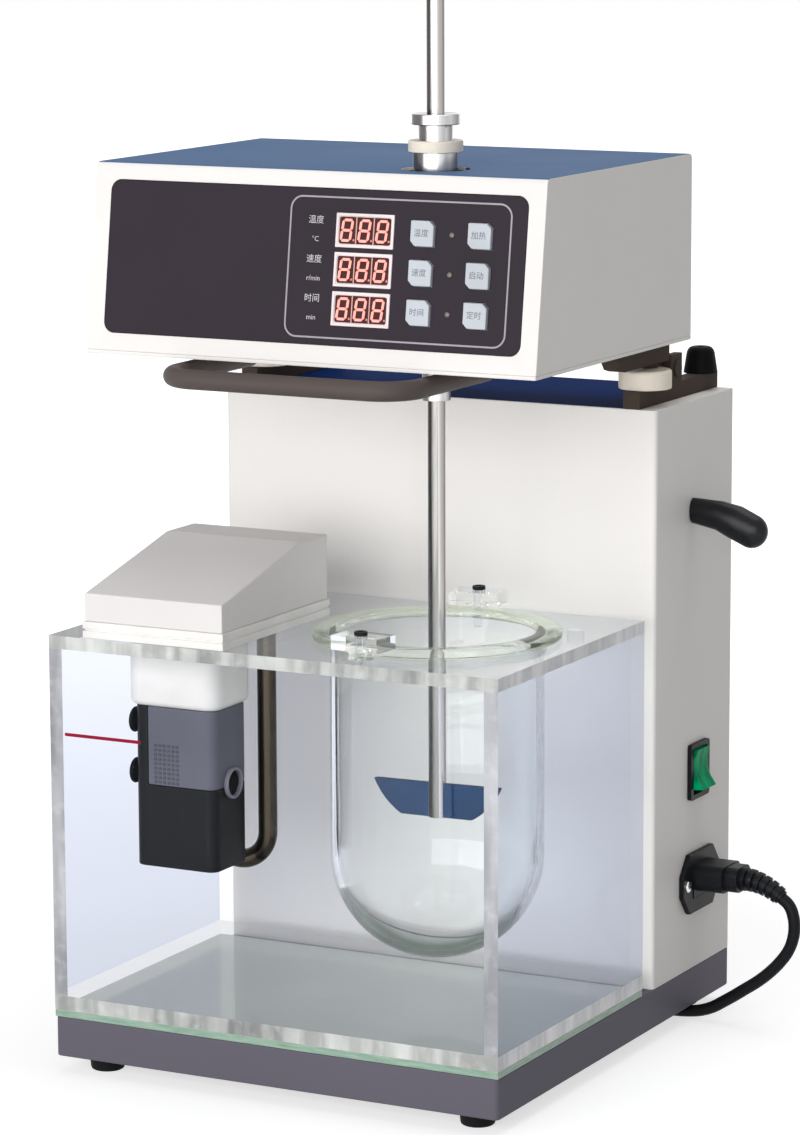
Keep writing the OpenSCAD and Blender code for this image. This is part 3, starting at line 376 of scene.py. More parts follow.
@cache
def clear(name, colour, index, edge, foot, through=1):
    """Clear glass or plastic that bends light and lets the lamps through; darker at a slant as painted
    reflection of dark surroundings, and low down as painted shade.
    """
    look = Finish(name)
    ripple = look.noise(16, 1)
    wipe = look.ramp(look.noise(28, 6), 0.55, 0.8)
    slant = look.node("LayerWeight", {"Blend": 0.25}, "Facing")
    height = look.node("SeparateXYZ", {0: look.where()}, "Z")
    low = look.ramp(height, *FOOT_SHADE_HEIGHTS) * look.ramp(slant, 0.24, 0.46)
    painted_edge_reflection = look.mix(look.ramp(slant, 0.4, 1), colour, edge)
    look.set(
        Base_Color=look.mix(low, painted_edge_reflection, foot),
        Roughness=wipe * 0.03,
        IOR=index,
        Specular_IOR_Level=0.07,
        Transmission_Weight=through,
        Normal=look.bump(ripple, 0.0008, 0.12),
    )
    straight = look.node("BsdfTransparent", {"Color": colour})
    return look.surface(look.either(look.ray("Shadow"), look.plain(), straight))


@cache
def sheet(name, colour):
    """Flat clear sheet that passes light straight on and mirrors a little, more at a slant."""
    look = Finish(name)
    slant = look.node("LayerWeight", {"Blend": 0.5}, "Facing") ** 5
    scratch = look.ramp(look.noise(1, 5, (260, 260, 18)), 0.6, 0.8)
    cloud = look.ramp(look.noise(7, 3), 0.35, 0.75)
    look.set(Base_Color=tone(214, 215, 213), Roughness=cloud * 0.05 + 0.02)
    straight = look.node("BsdfTransparent", {"Color": colour})
    weight = slant * 1.1 + scratch * 0.012 + cloud * 0.004 + 0.004
    return look.surface(look.either(weight, straight, look.plain()))


@cache
def sheet_edge(name, dark, light):
    """Sawn edge of a clear sheet: pale as a frosted cut, with dark and light patches and bright flecks that
    are painted reflections and glints.
    """
    look = Finish(name)
    fleck = look.ramp(look.noise(140, 3), 0.5, 0.8)
    broad = look.ramp(look.noise(13, 2), 0.35, 0.65)
    block = look.ramp(look.noise(1, 3, (95, 95, 12)), 0.42, 0.6)
    pale = look.mix(broad * 0.55 + block * 0.45, dark, light)
    return look.set(
        Base_Color=look.mix(fleck * 0.25, pale, tone(246, 248, 246)),
        Roughness=fleck * 0.2 + 0.15,
        Specular_IOR_Level=0.3,
    )


@cache
def glow(name, colour, strength):
    """Lit segment that also reads as tinted plastic when it is off."""
    look = Finish(name)
    even = look.ramp(look.noise(420, 2), 0.25, 0.75)
    lit = look.mix(even, shade(colour, 0.86), colour)
    return look.set(Base_Color=lit, Emission_Color=lit, Emission_Strength=strength, Roughness=0.3)


def new_object(name, data):
    """Object at the origin of the scene."""
    thing = bpy.data.objects.new(name, data)
    bpy.context.scene.collection.objects.link(thing)
    return thing


def new_mesh(name, bm):
    """Mesh from a bmesh, which is freed."""
    mesh = bpy.data.meshes.new(name)
    bm.to_mesh(mesh)
    bm.free()
    return mesh


def join(bm, part, matrix):
    """Merges a shape's doubles and adds it, in its place, to a larger shape."""
    bmesh.ops.remove_doubles(part, verts=part.verts, dist=1e-5)
    bmesh.ops.transform(part, matrix=matrix, verts=part.verts)
    mesh = new_mesh("part", part)
    bm.from_mesh(mesh)
    bpy.data.meshes.remove(mesh)


def lathe(bm, profile, matrix, steps=48):
    """Spins (radius, height) pairs round the local Z axis."""
    part = bmesh.new()
    verts = [part.verts.new((radius, 0, height)) for radius, height in profile]
    edges = [part.edges.new(pair) for pair in zip(verts, verts[1:])]
    bmesh.ops.spin(
        part, geom=verts + edges, cent=(0, 0, 0), axis=(0, 0, 1), dvec=(0, 0, 0),
        angle=tau, steps=steps, use_merge=True, use_duplicate=False,
    )
    join(bm, part, matrix)


def raise_faces(part, height):
    """Extrudes a flat shape into a closed plate."""
    grown = bmesh.ops.extrude_face_region(part, geom=part.faces[:])
    lifted = [v for v in grown["geom"] if isinstance(v, bmesh.types.BMVert)]
    bmesh.ops.translate(part, verts=lifted, vec=(0, 0, height))


def slab(bm, outline, low, high, matrix):
    """Plate with straight edges between two heights."""
    part = bmesh.new()
    part.faces.new([part.verts.new((x, y, low)) for x, y in outline])
    raise_faces(part, high - low)
    join(bm, part, matrix)


def rounded_slab(bm, width, height, radius, low, high, matrix, segments=5, line=0):
    """Plate with round corners between two heights, or a frame as wide as line says."""
    part = bmesh.new()
    bmesh.ops.create_grid(part, x_segments=1, y_segments=1, size=0.5)
    bmesh.ops.scale(part, verts=part.verts, vec=(width, height, 1))
    bmesh.ops.translate(part, verts=part.verts, vec=(0, 0, low))
    bmesh.ops.bevel(
        part, geom=part.verts[:], offset=radius, segments=segments, profile=0.5,
        affect="VERTICES", material=-1,
    )
    if line:
        inner = part.faces[:]
        bmesh.ops.inset_region(part, faces=inner, thickness=line, use_even_offset=True, use_boundary=True)
        bmesh.ops.delete(part, geom=inner, context="FACES")
    raise_faces(part, high - low)
    join(bm, part, matrix)


def node_mesh(node):
    """Merged copy of a CAD node's mesh, with flat areas joined up."""
    bm = bmesh.new()
    bm.from_mesh(FRAME["nodes"][node].data)
    bmesh.ops.remove_doubles(bm, verts=bm.verts, dist=2e-6)
    bmesh.ops.dissolve_limit(bm, angle_limit=radians(0.5), verts=bm.verts, edges=bm.edges, delimit=set())
    return bm


def cut(bm, point, normal):
    """Cuts a shape's faces along a plane, with both sides kept."""
    whole = bm.verts[:] + bm.edges[:] + bm.faces[:]
    bmesh.ops.bisect_plane(bm, geom=whole, plane_co=point, plane_no=normal)


def piece(name, bm, finishes, slot, replaces=(), body="frame", edge=0, steps=2, angle=35, recalc=True):
    """Makes a finished object, rounded by edge in millimetres, and lets it ride on its body."""
    if recalc:
        bmesh.ops.recalc_face_normals(bm, faces=bm.faces)
    mesh = new_mesh(name, bm)
    for finish in finishes:
        mesh.materials.append(finish)
    mesh.shade_smooth()
    mesh.set_sharp_from_angle(angle=radians(angle))
    thing = new_object(name, mesh)
    if edge:
        rounding = thing.modifiers.new("Rounding", "BEVEL")
        rounding.width = edge * MM
        rounding.segments = steps
        rounding.limit_method = "ANGLE"
        rounding.angle_limit = radians(angle)
        rounding.harden_normals = True
    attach(thing, body)
    if replaces:
        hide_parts(*replaces)
    return thing


def dress(node, *finishes, bm=None, **rounding):
    """Stands a rounded, finished copy in for a CAD node."""
    shape = bm or node_mesh(node)
    name, slot, body = node + "_dressed", SLOT_OF[node], BODY_OF[node]
    return piece(name, shape, finishes, slot, (node,), body, recalc=False, **rounding)


def coat(node, finish):
    """Gives a CAD node that stays a better material."""
    mesh = FRAME["nodes"][node].data
    mesh.materials.clear()
    mesh.materials.append(finish)


def second_finish(bm, test, index=1):
    """Gives a later finish to the faces that pass a test of centre, in millimetres, and normal."""
    for face in bm.faces:
        if test(local(face.calc_center_median()), face.normal):
            face.material_index = index


def screw_head(bm, radius, height, matrix):
    """Domed screw head with a cross."""
    dome = ((0, 0), (1, 0), (1, 0.55), (0.86, 0.85), (0.6, 1), (0.52, 1), (0, 1))
    lathe(bm, [(radius * out, height * up) for out, up in dome], matrix, 24)
    long, thin = radius * 0.5, radius * 0.1
    bar = [(-long, -thin), (long, -thin), (long, thin), (-long, thin)]
    for turn in (20, 110):
        slab(bm, bar, height * 0.7, height * 1.02, matrix @ turned(turn, "Z"))


def lettering(name, text, size, matrix, finish, body, slot):
    """Flat generic marking made a mesh and set on its face."""
    curve = bpy.data.curves.new(name, "FONT")
    curve.body = text
    curve.size = size
    curve.align_x = curve.align_y = "CENTER"
    curve.extrude = 0.02
    curve.resolution_u = 2
    source = new_object(name + "_text", curve)
    bpy.context.view_layer.update()
    mesh = bpy.data.meshes.new_from_object(source.evaluated_get(bpy.context.evaluated_depsgraph_get()))
    bpy.data.objects.remove(source)
    bpy.data.curves.remove(curve)
    part = bmesh.new()
    part.from_mesh(mesh)
    bpy.data.meshes.remove(mesh)
    bm = bmesh.new()
    join(bm, part, matrix)
    return piece(name, bm, [finish], slot, body=body, recalc=False)


def sizes():
    return bpy.context.scene.tester_sizes


def tint(name):
    return tuple(getattr(bpy.context.scene.tester_colours, name))


def body_paint():
    return powder_coat("body_powder_coat", tint("body"))


def black_plastic():
    return moulded("black_moulding", tint("black"), 0.42, 0.12, 0.12)


def black_rubber():
    return moulded("black_rubber", shade(tint("black"), 0.8), 0.62, 0.6, 0.1, 1100)


def bright_steel():
    return turned_metal("bright_steel", tone(240, 239, 238), 0.2)


def aluminium():
    return turned_metal("plain_aluminium", tone(190, 191, 192), 0.35, (300, 20, 20))


class Step:
    """What the operators share: each builds its pieces and reports that it is done."""

    def execute(self, context):
        self.build()
        return {"FINISHED"}


class StageOperator(Step, bpy.types.Operator):
    """Camera, floor, soft lights and an even sky"""

    bl_idname = "tester.stage"
    bl_label = "Stage"

    EYE = (1085.6, -1926.4, 674.75)
    YAW, PITCH, ROLL = 27.62, 9.965, -0.227
    # Each soft box: its place, its side in metres and its share of the key light.
    LAMPS = (
        ("left_light", (-760, -2400, 640), 1.7, 0.6),
        ("right_light", (760, -2400, 700), 1.7, 0.5),
        ("top_light", (300, 500, 2600), 1.6, 0.3),
    )
    TARGET = (0, 120, 260)
    WHITE = (1, 1, 1)
    PAPER = ((0.54, 0.54, 0.54), (0.58, 0.58, 0.58))
    # The paper's own light near the machine, and the distances in metres over which it turns white.
    NEAR_LIGHT = 0.64
    TURNS_WHITE = (0.3, 1.1)

    def build(self):
        self.camera()
        self.floor()
        self.lights()
        self.sky()
        bpy.context.scene.view_settings.view_transform = "Standard"

    def camera(self):
        data = bpy.data.cameras.new("Camera")
        data.sensor_fit = "HORIZONTAL"
        data.sensor_width = 36
        data.lens = sizes().lens
        data.clip_end = 50
        camera = new_object("Camera", data)
        aim = turned(self.YAW, "Z") @ turned(90 - self.PITCH, "X") @ turned(self.ROLL, "Z")
        camera.matrix_world = Matrix.Translation(spot(*self.EYE)) @ aim
        bpy.context.scene.camera = camera

    def floor(self):
        bm = bmesh.new()
        bmesh.ops.create_grid(bm, x_segments=1, y_segments=1, size=6)
        mesh = new_mesh("floor", bm)
        look = Finish("floor_paper")
        cloud = look.noise(3, 3)
        look.set(Base_Color=look.mix(cloud, *self.PAPER), Roughness=0.9)
        self.show_as_backdrop(look)
        mesh.materials.append(look.material)
        new_object("floor", mesh)

    def show_as_backdrop(self, look):
        """Lets camera, mirror and glass rays see the paper nearly white, with its shadow kept."""
        near = look.node("Emission", {"Color": self.WHITE, "Strength": self.NEAR_LIGHT})
        white = look.node("Emission", {"Color": self.WHITE, "Strength": 1})
        away = look.node("VectorMath", {0: look.where()}, "Value", operation="LENGTH")
        light = look.either(look.ramp(away, *self.TURNS_WHITE), near, white)
        shown = look.node("MixShader", {0: look.seen(), 2: light})
        look.surface(look.node("AddShader", {0: look.plain(), 1: shown}))

    def lights(self):
        for name, where, size, share in self.LAMPS:
            data = bpy.data.lights.new(name, "AREA")
            data.shape = "SQUARE"
            data.size = size
            data.energy = sizes().key_light * share
            lamp = new_object(name, data)
            lamp.location = spot(*where)
            lamp.rotation_euler = (spot(*self.TARGET) - lamp.location).to_track_quat("-Z", "Y").to_euler()

    def sky(self):
        world = bpy.data.worlds.new("sky")
        bpy.context.scene.world = world
        nodes = Nodes(world)
        light = nodes.node("Background", {"Color": self.WHITE, "Strength": sizes().sky})
        white = nodes.node("Background", {"Color": self.WHITE, "Strength": 1})
        output = nodes.tree.nodes.new("ShaderNodeOutputWorld")
        nodes.fill(output.inputs["Surface"], nodes.either(nodes.seen(), light, white))


class LeadOperator(Step, bpy.types.Operator):
    """Mains lead with its connector, coil, tie and plug"""

    bl_idname = "tester.lead"
    bl_label = "Mains lead"

    # Bend of the strain relief: its start past the column's side, place, radius and turn in degrees.
    RELIEF_X, RELIEF_Y, RELIEF_Z, RELIEF_R, RELIEF_TURN = 28, 251, 84, 36, 40
    STUB = 6
    # Free stretch from the bend, down to the bench and round behind the column.
    RUN = (
        (191.2, 251, 66), (192, 251, 60), (191.2, 251, 53), (188.6, 251, 46), (184.2, 251, 39.5),
        (178.3, 251, 33), (171, 251, 26.6), (162, 251, 20.2), (152, 251, 13.4), (140, 250.5, 6.6),
        (127, 250, 4), (114, 251.5, 3.4), (102, 257, 3.4), (92, 266, 3.4), (85.5, 277.5, 3.4),
        (82, 290.5, 3.4), (81, 304, 3.6), (81, 318, 4.2), (81, 332, 4.9),
    )
    # Coil: right edge, front edge and height of its outer turn, and the lead-in to it.
    COIL_RIGHT, COIL_FRONT, COIL_Z, LEAD_IN = 81, 306.4, 4.9, 6.8
    # Distance between turns, least radius, turns in a layer, and turns in the climb and past the start.
    STEP, INNER, TURNS, CLIMB, OVER = 7.5, 29, 3, 0.25, 0.125
    RINGS = 24
    LEAD_OUT = 36
    # Distance from the lead's end to the pins of the plug.
    PINS = 56.1

    def route(self):
        """Points of the lead in millimetres: bend, run, coil of two layers and its end."""
        bend = radians(self.RELIEF_TURN)
        exit_x = HALF_W + self.RELIEF_X + self.RELIEF_R * sin(bend)
        exit_z = self.RELIEF_Z - self.RELIEF_R * (1 - cos(bend))
        points = [Vector((exit_x, self.RELIEF_Y, exit_z))]
        points.append(points[0] + self.STUB * Vector((cos(bend), 0, -sin(bend))))
        points += [Vector(p) for p in self.RUN]
        outer = self.INNER + self.STEP * self.TURNS
        centre = Vector((self.COIL_RIGHT - outer, self.COIL_FRONT + outer, self.COIL_Z))
        points.append(centre + Vector((outer, -self.LEAD_IN, 0)))
        total = 2 * self.TURNS + self.CLIMB + self.OVER
        count = round(total * self.RINGS)
        for i in range(count + 1):
            t = total * i / count
            radius = self.INNER + self.STEP * max(self.TURNS - t, t - self.TURNS - self.CLIMB, 0)
            rise = self.STEP * min(max((t - self.TURNS) / self.CLIMB, 0), 1)
            angle = tau * t
            points.append(centre + Vector((radius * cos(angle), radius * sin(angle), rise)))
        heading = tau * total + pi / 2
        ahead = Vector((cos(heading), sin(heading), 0))
        points += [points[-1] + ahead * self.LEAD_OUT / 2, points[-1] + ahead * self.LEAD_OUT]
        return points

    def build(self):
        points = self.route()
        curve = bpy.data.curves.new("mains_lead", "CURVE")
        curve.dimensions = "3D"
        curve.resolution_u = 4
        curve.bevel_depth = sizes().cord / 2
        curve.bevel_resolution = 4
        curve.use_fill_caps = True
        line = curve.splines.new("BEZIER")
        line.bezier_points.add(len(points) - 1)
        for knot, point in zip(line.bezier_points, points):
            knot.co = spot(*point)
            knot.handle_left_type = knot.handle_right_type = "AUTO"
        sheath = moulded("lead_sheath", shade(tint("black"), 0.75), 0.5, 0.35, 0.12, 900)
        curve.materials.append(sheath)
        lead = new_object("mains_lead", curve)
        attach(lead, "frame")
        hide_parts("cord_run", "cord_coil")
        dress("cord_connector", black_plastic(), edge=0.5)
        plug_shape = node_mesh("mains_plug")
        tip = points[-1]
        ahead = (tip - points[-2]).normalized()
        second_finish(plug_shape, lambda centre, normal: (centre - tip).dot(ahead) > self.PINS)
        plug = dress("mains_plug", black_plastic(), bright_steel(), edge=0.6, bm=plug_shape)
        tie = dress("cord_tie", moulded("tie_strip", tone(66, 66, 70), 0.45), edge=0.2)


class BaseOperator(Step, bpy.types.Operator):
    """Base pan, rubber feet and glass mat"""

    bl_idname = "tester.base"
    bl_label = "Base"

    FOOT_R = 10
    FOOT = (
        (0, 1.2), (3.2, 1.2), (3.6, 0.3), (4.2, 0), (8, 0), (8.8, 0.5), (9.2, 1.6), (9.9, 8.6),
        (9.9, 9), (0, 9),
    )

    def build(self):
        dress("base_pan", powder_coat("base_paint", tint("base"), 0.5, 0.12), edge=sizes().edge / MM)
        feet = bmesh.new()
        low, high = corners("base_feet")
        for x in (low.x + self.FOOT_R, high.x - self.FOOT_R):
            for y in (low.y + self.FOOT_R, high.y - self.FOOT_R):
                lathe(feet, self.FOOT, place(x, y, 0), 32)
        piece("rubber_feet", feet, [black_rubber()], "black_rubber", ("base_feet",))
        look = Finish("mat_glass")
        cloud = look.ramp(look.noise(14, 4), 0.3, 0.7)
        look.set(
            Base_Color=look.mix(cloud, tone(200, 207, 198), tone(213, 218, 209)),
            Roughness=cloud * 0.08 + 0.1,
            Coat_Weight=0.4,
        )
        rim = Finish("mat_rim")
        band = rim.noise(1, 2, (90, 90, 700))
        rim.set(Base_Color=rim.mix(band, tone(108, 140, 120), tone(172, 200, 182)), Roughness=0.12)
        shape = node_mesh("glass_mat")
        second_finish(shape, lambda centre, normal: abs(normal.z) < 0.5)
        dress("glass_mat", look.material, rim.material, edge=0.4, bm=shape)


class BathOperator(Step, bpy.types.Operator):
    """Clear bath, its lid and the level line"""

    bl_idname = "tester.bath"
    bl_label = "Water bath"

    WALL = 8
    # The sheets stop this short of each other.
    JOINT = 0.04
    # Order of the finishes on the sheets.
    CLEAR, RIM, SIDE, UPRIGHT, END = range(5)
    LEVEL_LENGTH, LEVEL_AT = 47, (-100.5, 0.14, 187)

    def build(self):
        clear_sheet = sheet("clear_sheet", tint("acrylic"))
        # Painted reflection: light through the side sheets is tinted darker and bluer, standing for
        # surroundings mirrored in them at a slant.
        side_sheet_painted_reflection = sheet("side_sheet_painted_reflection", tone(222, 226, 238))
        # Painted light: the edge finishes are lighter and darker copies of one finish; the front edges of the
        # side sheets are painted darker as shade and the end faces paler as a painted highlight.
        rim = sheet_edge("sheet_rim", tone(134, 136, 135), tone(220, 222, 219))
        upright = sheet_edge("upright_rim_painted_shade", tone(140, 141, 147), tone(198, 199, 204))
        end_rim_painted_highlight = sheet_edge("end_rim_painted_highlight", tone(188, 189, 196), tone(252, 252, 254))
        low, high = corners("water_tank")
        wall = self.WALL
        middle = (low + high) / 2
        bath = bmesh.new()
        sheets = [((low.x, low.y, low.z), (high.x, high.y, low.z + wall), "z")]
        for x in (low.x, high.x - wall):
            sheets.append(((x, low.y, low.z + wall), (x + wall, high.y, high.z), "x"))
        for y in (low.y, high.y - wall):
            sheets.append(((low.x + wall, y, low.z + wall), (high.x - wall, y + wall, high.z), "y"))
        for near, far, across in sheets:
            self.add_sheet(bath, Vector(near), Vector(far), across, middle)
        finishes = [clear_sheet, rim, side_sheet_painted_reflection, upright, end_rim_painted_highlight]
        piece("bath_sheets", bath, finishes, "clear_acrylic", ("water_tank",), recalc=False)
        lid = node_mesh("tank_lid")
        under = [face for face in lid.faces if face.normal.z < -0.5]
        bmesh.ops.delete(lid, geom=under, context="FACES")
        second_finish(lid, lambda centre, normal: normal.y < -0.5 and centre.y < 0.5)
        # Painted highlight: the lid's end faces take the paler edge finish.
        second_finish(lid, lambda centre, normal: abs(normal.x) > 0.5 and abs(centre.x) > HALF_W - 0.5, 2)
        dress("tank_lid", clear_sheet, rim, end_rim_painted_highlight, bm=lid)
        mark = bmesh.new()
        height = sizes().level_mark / MM
        here = place(*self.LEVEL_AT, TO_FRONT)
        rounded_slab(mark, self.LEVEL_LENGTH, height, height * 0.45, 0, 0.12, here, 3)
        red = moulded("level_red", tone(150, 18, 48), 0.35, 0.2, 0.1)
        piece("level_line", mark, [red], "led_amber")

    def add_sheet(self, bm, near, far, across, centre):
        """One sheet of the bath: its outer face and the narrow faces that show, each with its finish."""
        part = bmesh.new()
        bmesh.ops.create_cube(part, size=1)
        middle = (near + far) / 2
        outward = middle - centre if across != "z" else Vector((0, 0, 1))
        spare = []
        for face in part.faces:
            if abs(getattr(face.normal, across)) > 0.5:
                if face.normal.dot(outward) < 0:
                    spare.append(face)
                elif across == "x":
                    # Painted reflection: the outer faces of the side sheets take the tinted finish.
                    face.material_index = self.SIDE
            elif face.normal.y < -0.5:
                face.material_index = self.UPRIGHT if across == "x" else self.RIM
            elif across == "z" and face.normal.x > 0.5:
                face.material_index = self.END
            else:
                spare.append(face)
        bmesh.ops.delete(part, geom=spare, context="FACES")
        size = far - near - Vector((self.JOINT, self.JOINT, self.JOINT))
        join(bm, part, place(*middle) @ Matrix.Diagonal((*size, 1)))


class VesselOperator(Step, bpy.types.Operator):
    """Round-bottomed vessel with its clips and screws"""

    bl_idname = "tester.vessel"
    bl_label = "Vessel"

    OUTER, INNER, RIM, LIP = 57, 53, 66.5, 4.5
    # Clip screws: distance from the vessel's axis, lowest point and direction in degrees.
    SCREW_REACH, SCREW_FOOT = 73.6, 233
    SCREW_TURN = {"front": -95, "rear": 99}
    SCREW_HEAD = (
        (2, 0.1), (3.3, 0.1), (3.6, 0.4), (3.6, 1.9), (3.3, 2.2), (2.1, 2.2), (1.9, 1.9), (1.9, 0.8),
        (0, 0.8),
    )

    def build(self):
        low, high = corners("vessel")
        outer, inner, rim = self.OUTER, self.INNER, self.RIM
        middle = low.z + outer
        top = high.z
        under = top - self.LIP
        arcs = [radians(-90 + 90 * i / 20) for i in range(21)]
        profile = [(inner * cos(a), middle + inner * sin(a)) for a in arcs]
        profile += [(inner, top - 1.2), (inner + 0.4, top - 0.4), (inner + 1.2, top)]
        profile += [(rim - 1.4, top), (rim - 0.4, top - 0.5), (rim, top - 1.5), (rim, under + 1.2)]
        profile += [(rim - 0.4, under + 0.3), (rim - 1.4, under), (outer + 1, under), (outer, under - 1)]
        profile += [(outer * cos(a), middle + outer * sin(a)) for a in reversed(arcs)]
        bm = bmesh.new()
        lathe(bm, profile, place(*AXIS, 0), 96)
        # Painted reflection and shade: the vessel glass darkens at a slant and at its foot.
        glass = clear("vessel_glass", tint("glass"), 1.33, tone(70, 80, 92), tone(122, 132, 122))
        pale_green = tone(212, 222, 184)
        green = clear("rim_glass", tone(244, 250, 236), 1.14, pale_green, pale_green, 0.82)
        bmesh.ops.recalc_face_normals(bm, faces=bm.faces)
        second_finish(bm, lambda centre, normal: centre.z > under - 0.5)
        piece("glass_vessel", bm, [glass, green], "vessel_glass", ("vessel",), angle=50)
        pale = tone(206, 211, 214)
        perspex = clear("clip_perspex", tone(252, 253, 253), 1.2, pale, pale)
        for end in self.SCREW_TURN:
            dress("vessel_clip_" + end, perspex, edge=0.8)
        screws = bmesh.new()
        seat = corners("vessel_clip_front")[1].z
        for turn in self.SCREW_TURN.values():
            self.socket_screw(screws, place(*around(self.SCREW_REACH, turn), 0), seat)
        second_finish(screws, lambda centre, normal: centre.z < seat)
        finishes = [black_plastic(), perspex]
        piece("clip_screws_dressed", screws, finishes, "bright_steel", ("clip_screws",))

    def socket_screw(self, bm, where, seat):
        """Socket screw down through a clip and the lid."""
        head = [(radius, seat + rise) for radius, rise in self.SCREW_HEAD]
        lathe(bm, [(0, self.SCREW_FOOT), (2, self.SCREW_FOOT), *head], where, 24)


class CirculatorOperator(Step, bpy.types.Operator):
    """Circulator with its cover, pump and heater"""

    bl_idname = "tester.circulator"
    bl_label = "Circulator"

    HEATER_R, CUP_R = 5, 7
    CUP = ((0, 0), (3.4, 0), (3.4, 0.8), (4.6, 1.6), (6.4, 2.4), (7, 3.6), (6.8, 4.1), (6, 3.7), (0, 3))
    MOUTH_SHADE_DISC = ((0, -0.1), (6.9, -0.1), (6.9, 0.3), (0, 0.3))
    GUARD_BARS = (-2.4, 0, 2.4)
    # Squares of the grille, across and up: how many, where the first stands and how far apart.
    SQUARES, FIRST, PITCH = (6, 9), (4.6, 1.9), (2.7, 2.5)

    def build(self):
        white = moulded("white_moulding", tone(243, 241, 238), 0.4, 0.2)
        cover = powder_coat("cover_moulding", tint("cover"), 0.5)
        grey = moulded("pump_grey", tint("pump"), 0.42, 0.3, 0.15)
        dress("circulator_plate", white, edge=0.4)
        dress("circulator_cover", cover, edge=1.2, steps=3)
        dress("pump_neck", white, edge=3.6, steps=4)
        dress("pump_motor", grey, edge=0.8)
        dress("pump_canister", black_plastic(), edge=0.8)
        dress("pump_nozzle", moulded("nozzle_ring", tone(128, 128, 140), 0.35), edge=0.5)
        self.cups()
        self.grille()
        self.mouth()
        low, high = corners("heater_tube")
        axis = (high.x - self.HEATER_R, (low.y + high.y) / 2)
        # Painted reflections: the heater's dark and light bands.
        dress("heater_tube", steel_with_painted_reflections("heater_sheath", tone(12, 10, 8), tone(86, 76, 62), axis), angle=50)

    def cups(self):
        bm = bmesh.new()
        low, high = corners("suction_cups")
        for z in (low.z + self.CUP_R, high.z - self.CUP_R):
            lathe(bm, self.CUP, place(high.x, (low.y + high.y) / 2, z, turned(-90, "Y")), 32)
        piece("pump_cups", bm, [black_rubber()], "black_rubber", ("suction_cups",))

    def mouth(self):
        """Painted shade: a thin black disc in the nozzle ring stands for its dark opening, with its guard
        bars.
        """
        bm = bmesh.new()
        low, high = corners("pump_nozzle")
        here = place(low.x, (low.y + high.y) / 2, (low.z + high.z) / 2, SIDE_TURN)
        lathe(bm, self.MOUTH_SHADE_DISC, here, 32)
        for x in self.GUARD_BARS:
            rounded_slab(bm, 0.8, 11.2, 0.3, 0.2, 1.2, here @ moved(x, 0), 2)
        piece("pump_mouth_painted_shade", bm, [black_rubber()], "black_plastic")

    def grille(self):
        """Field of small raised squares low on the pump's front."""
        bm = bmesh.new()
        low = corners("pump_motor")[0]
        for i in range(self.SQUARES[0]):
            x = low.x + self.FIRST[0] + self.PITCH[0] * i
            for k in range(self.SQUARES[1]):
                z = low.z + self.FIRST[1] + self.PITCH[1] * k
                rounded_slab(bm, 1.7, 1.5, 0.3, -0.1, 0.35, place(x, low.y, z, TO_FRONT), 1)
        finish = moulded("grille_grey", shade(tint("pump"), 0.72), 0.45, 0.3, 0.1)
        piece("pump_grille", bm, [finish], "pump_grey")


class ColumnOperator(Step, bpy.types.Operator):
    """Column sheets and their screws"""

    bl_idname = "tester.column"
    bl_label = "Column"

    # Screws of the back cover, and of the mains inlet on its flange.
    COVER_X, COVER_Y, COVER_Z = (-121, 121), 295, (41, 191.5, 342)
    INLET_Y, INLET_Z, FLANGE = (231, 271), 81, 3

    def build(self):
        dress("column_shell", body_paint(), edge=0.6)
        dress("column_back", body_paint(), edge=0.5)
        cap = node_mesh("column_top")
        reach = corners("hinge_rails")[1].x - 1
        for x in (-reach, reach):
            cut(cap, spot(x, 0, 0), (1, 0, 0))
        second_finish(cap, lambda centre, normal: abs(centre.x) > reach)
        # Painted reflection and shade: the dark blue between the rails stands for mirrored blue surroundings
        # and the shade under the head.
        navy = powder_coat("navy_paint", tint("column_top"), 0.65, 0.01)
        dress("column_top", navy, body_paint(), edge=0.5, bm=cap)
        places = [place(x, self.COVER_Y, z, TO_BACK) for x in self.COVER_X for z in self.COVER_Z]
        places += [place(HALF_W + self.FLANGE, y, self.INLET_Z, SIDE_TURN) for y in self.INLET_Y]
        screws = bmesh.new()
        for where in places:
            screw_head(screws, 3.2, 1.6, where)
        piece("sheet_screws", screws, [bright_steel()], "bright_steel", ("cover_screws",))
        coat("power_supply", aluminium())


class SideOperator(Step, bpy.types.Operator):
    """Mains switch, inlet and lock lever"""

    bl_idname = "tester.side"
    bl_label = "Side fittings"

    def build(self):
        dress("switch_bezel", black_plastic(), edge=0.5)
        dress("power_inlet", black_plastic(), edge=0.6)
        lever = moulded("lever_moulding", shade(tint("black"), 0.9), 0.3, 0.25, 0.2)
        dress("lock_lever", lever, angle=60)
        look = Finish("rocker_green")
        cloud = look.ramp(look.noise(1, 3, (90, 420, 90)), 0.35, 0.7)
        colour = tint("rocker")
        look.set(
            Base_Color=look.mix(cloud, shade(colour, 0.6), shade(colour, 1.4)),
            Emission_Color=look.mix(cloud, shade(colour, 0.5), shade(colour, 1.3)),
            Emission_Strength=0.2,
            Roughness=0.22,
            Specular_IOR_Level=0.02,
        )
        dress("switch_rocker", look.material, edge=0.5)


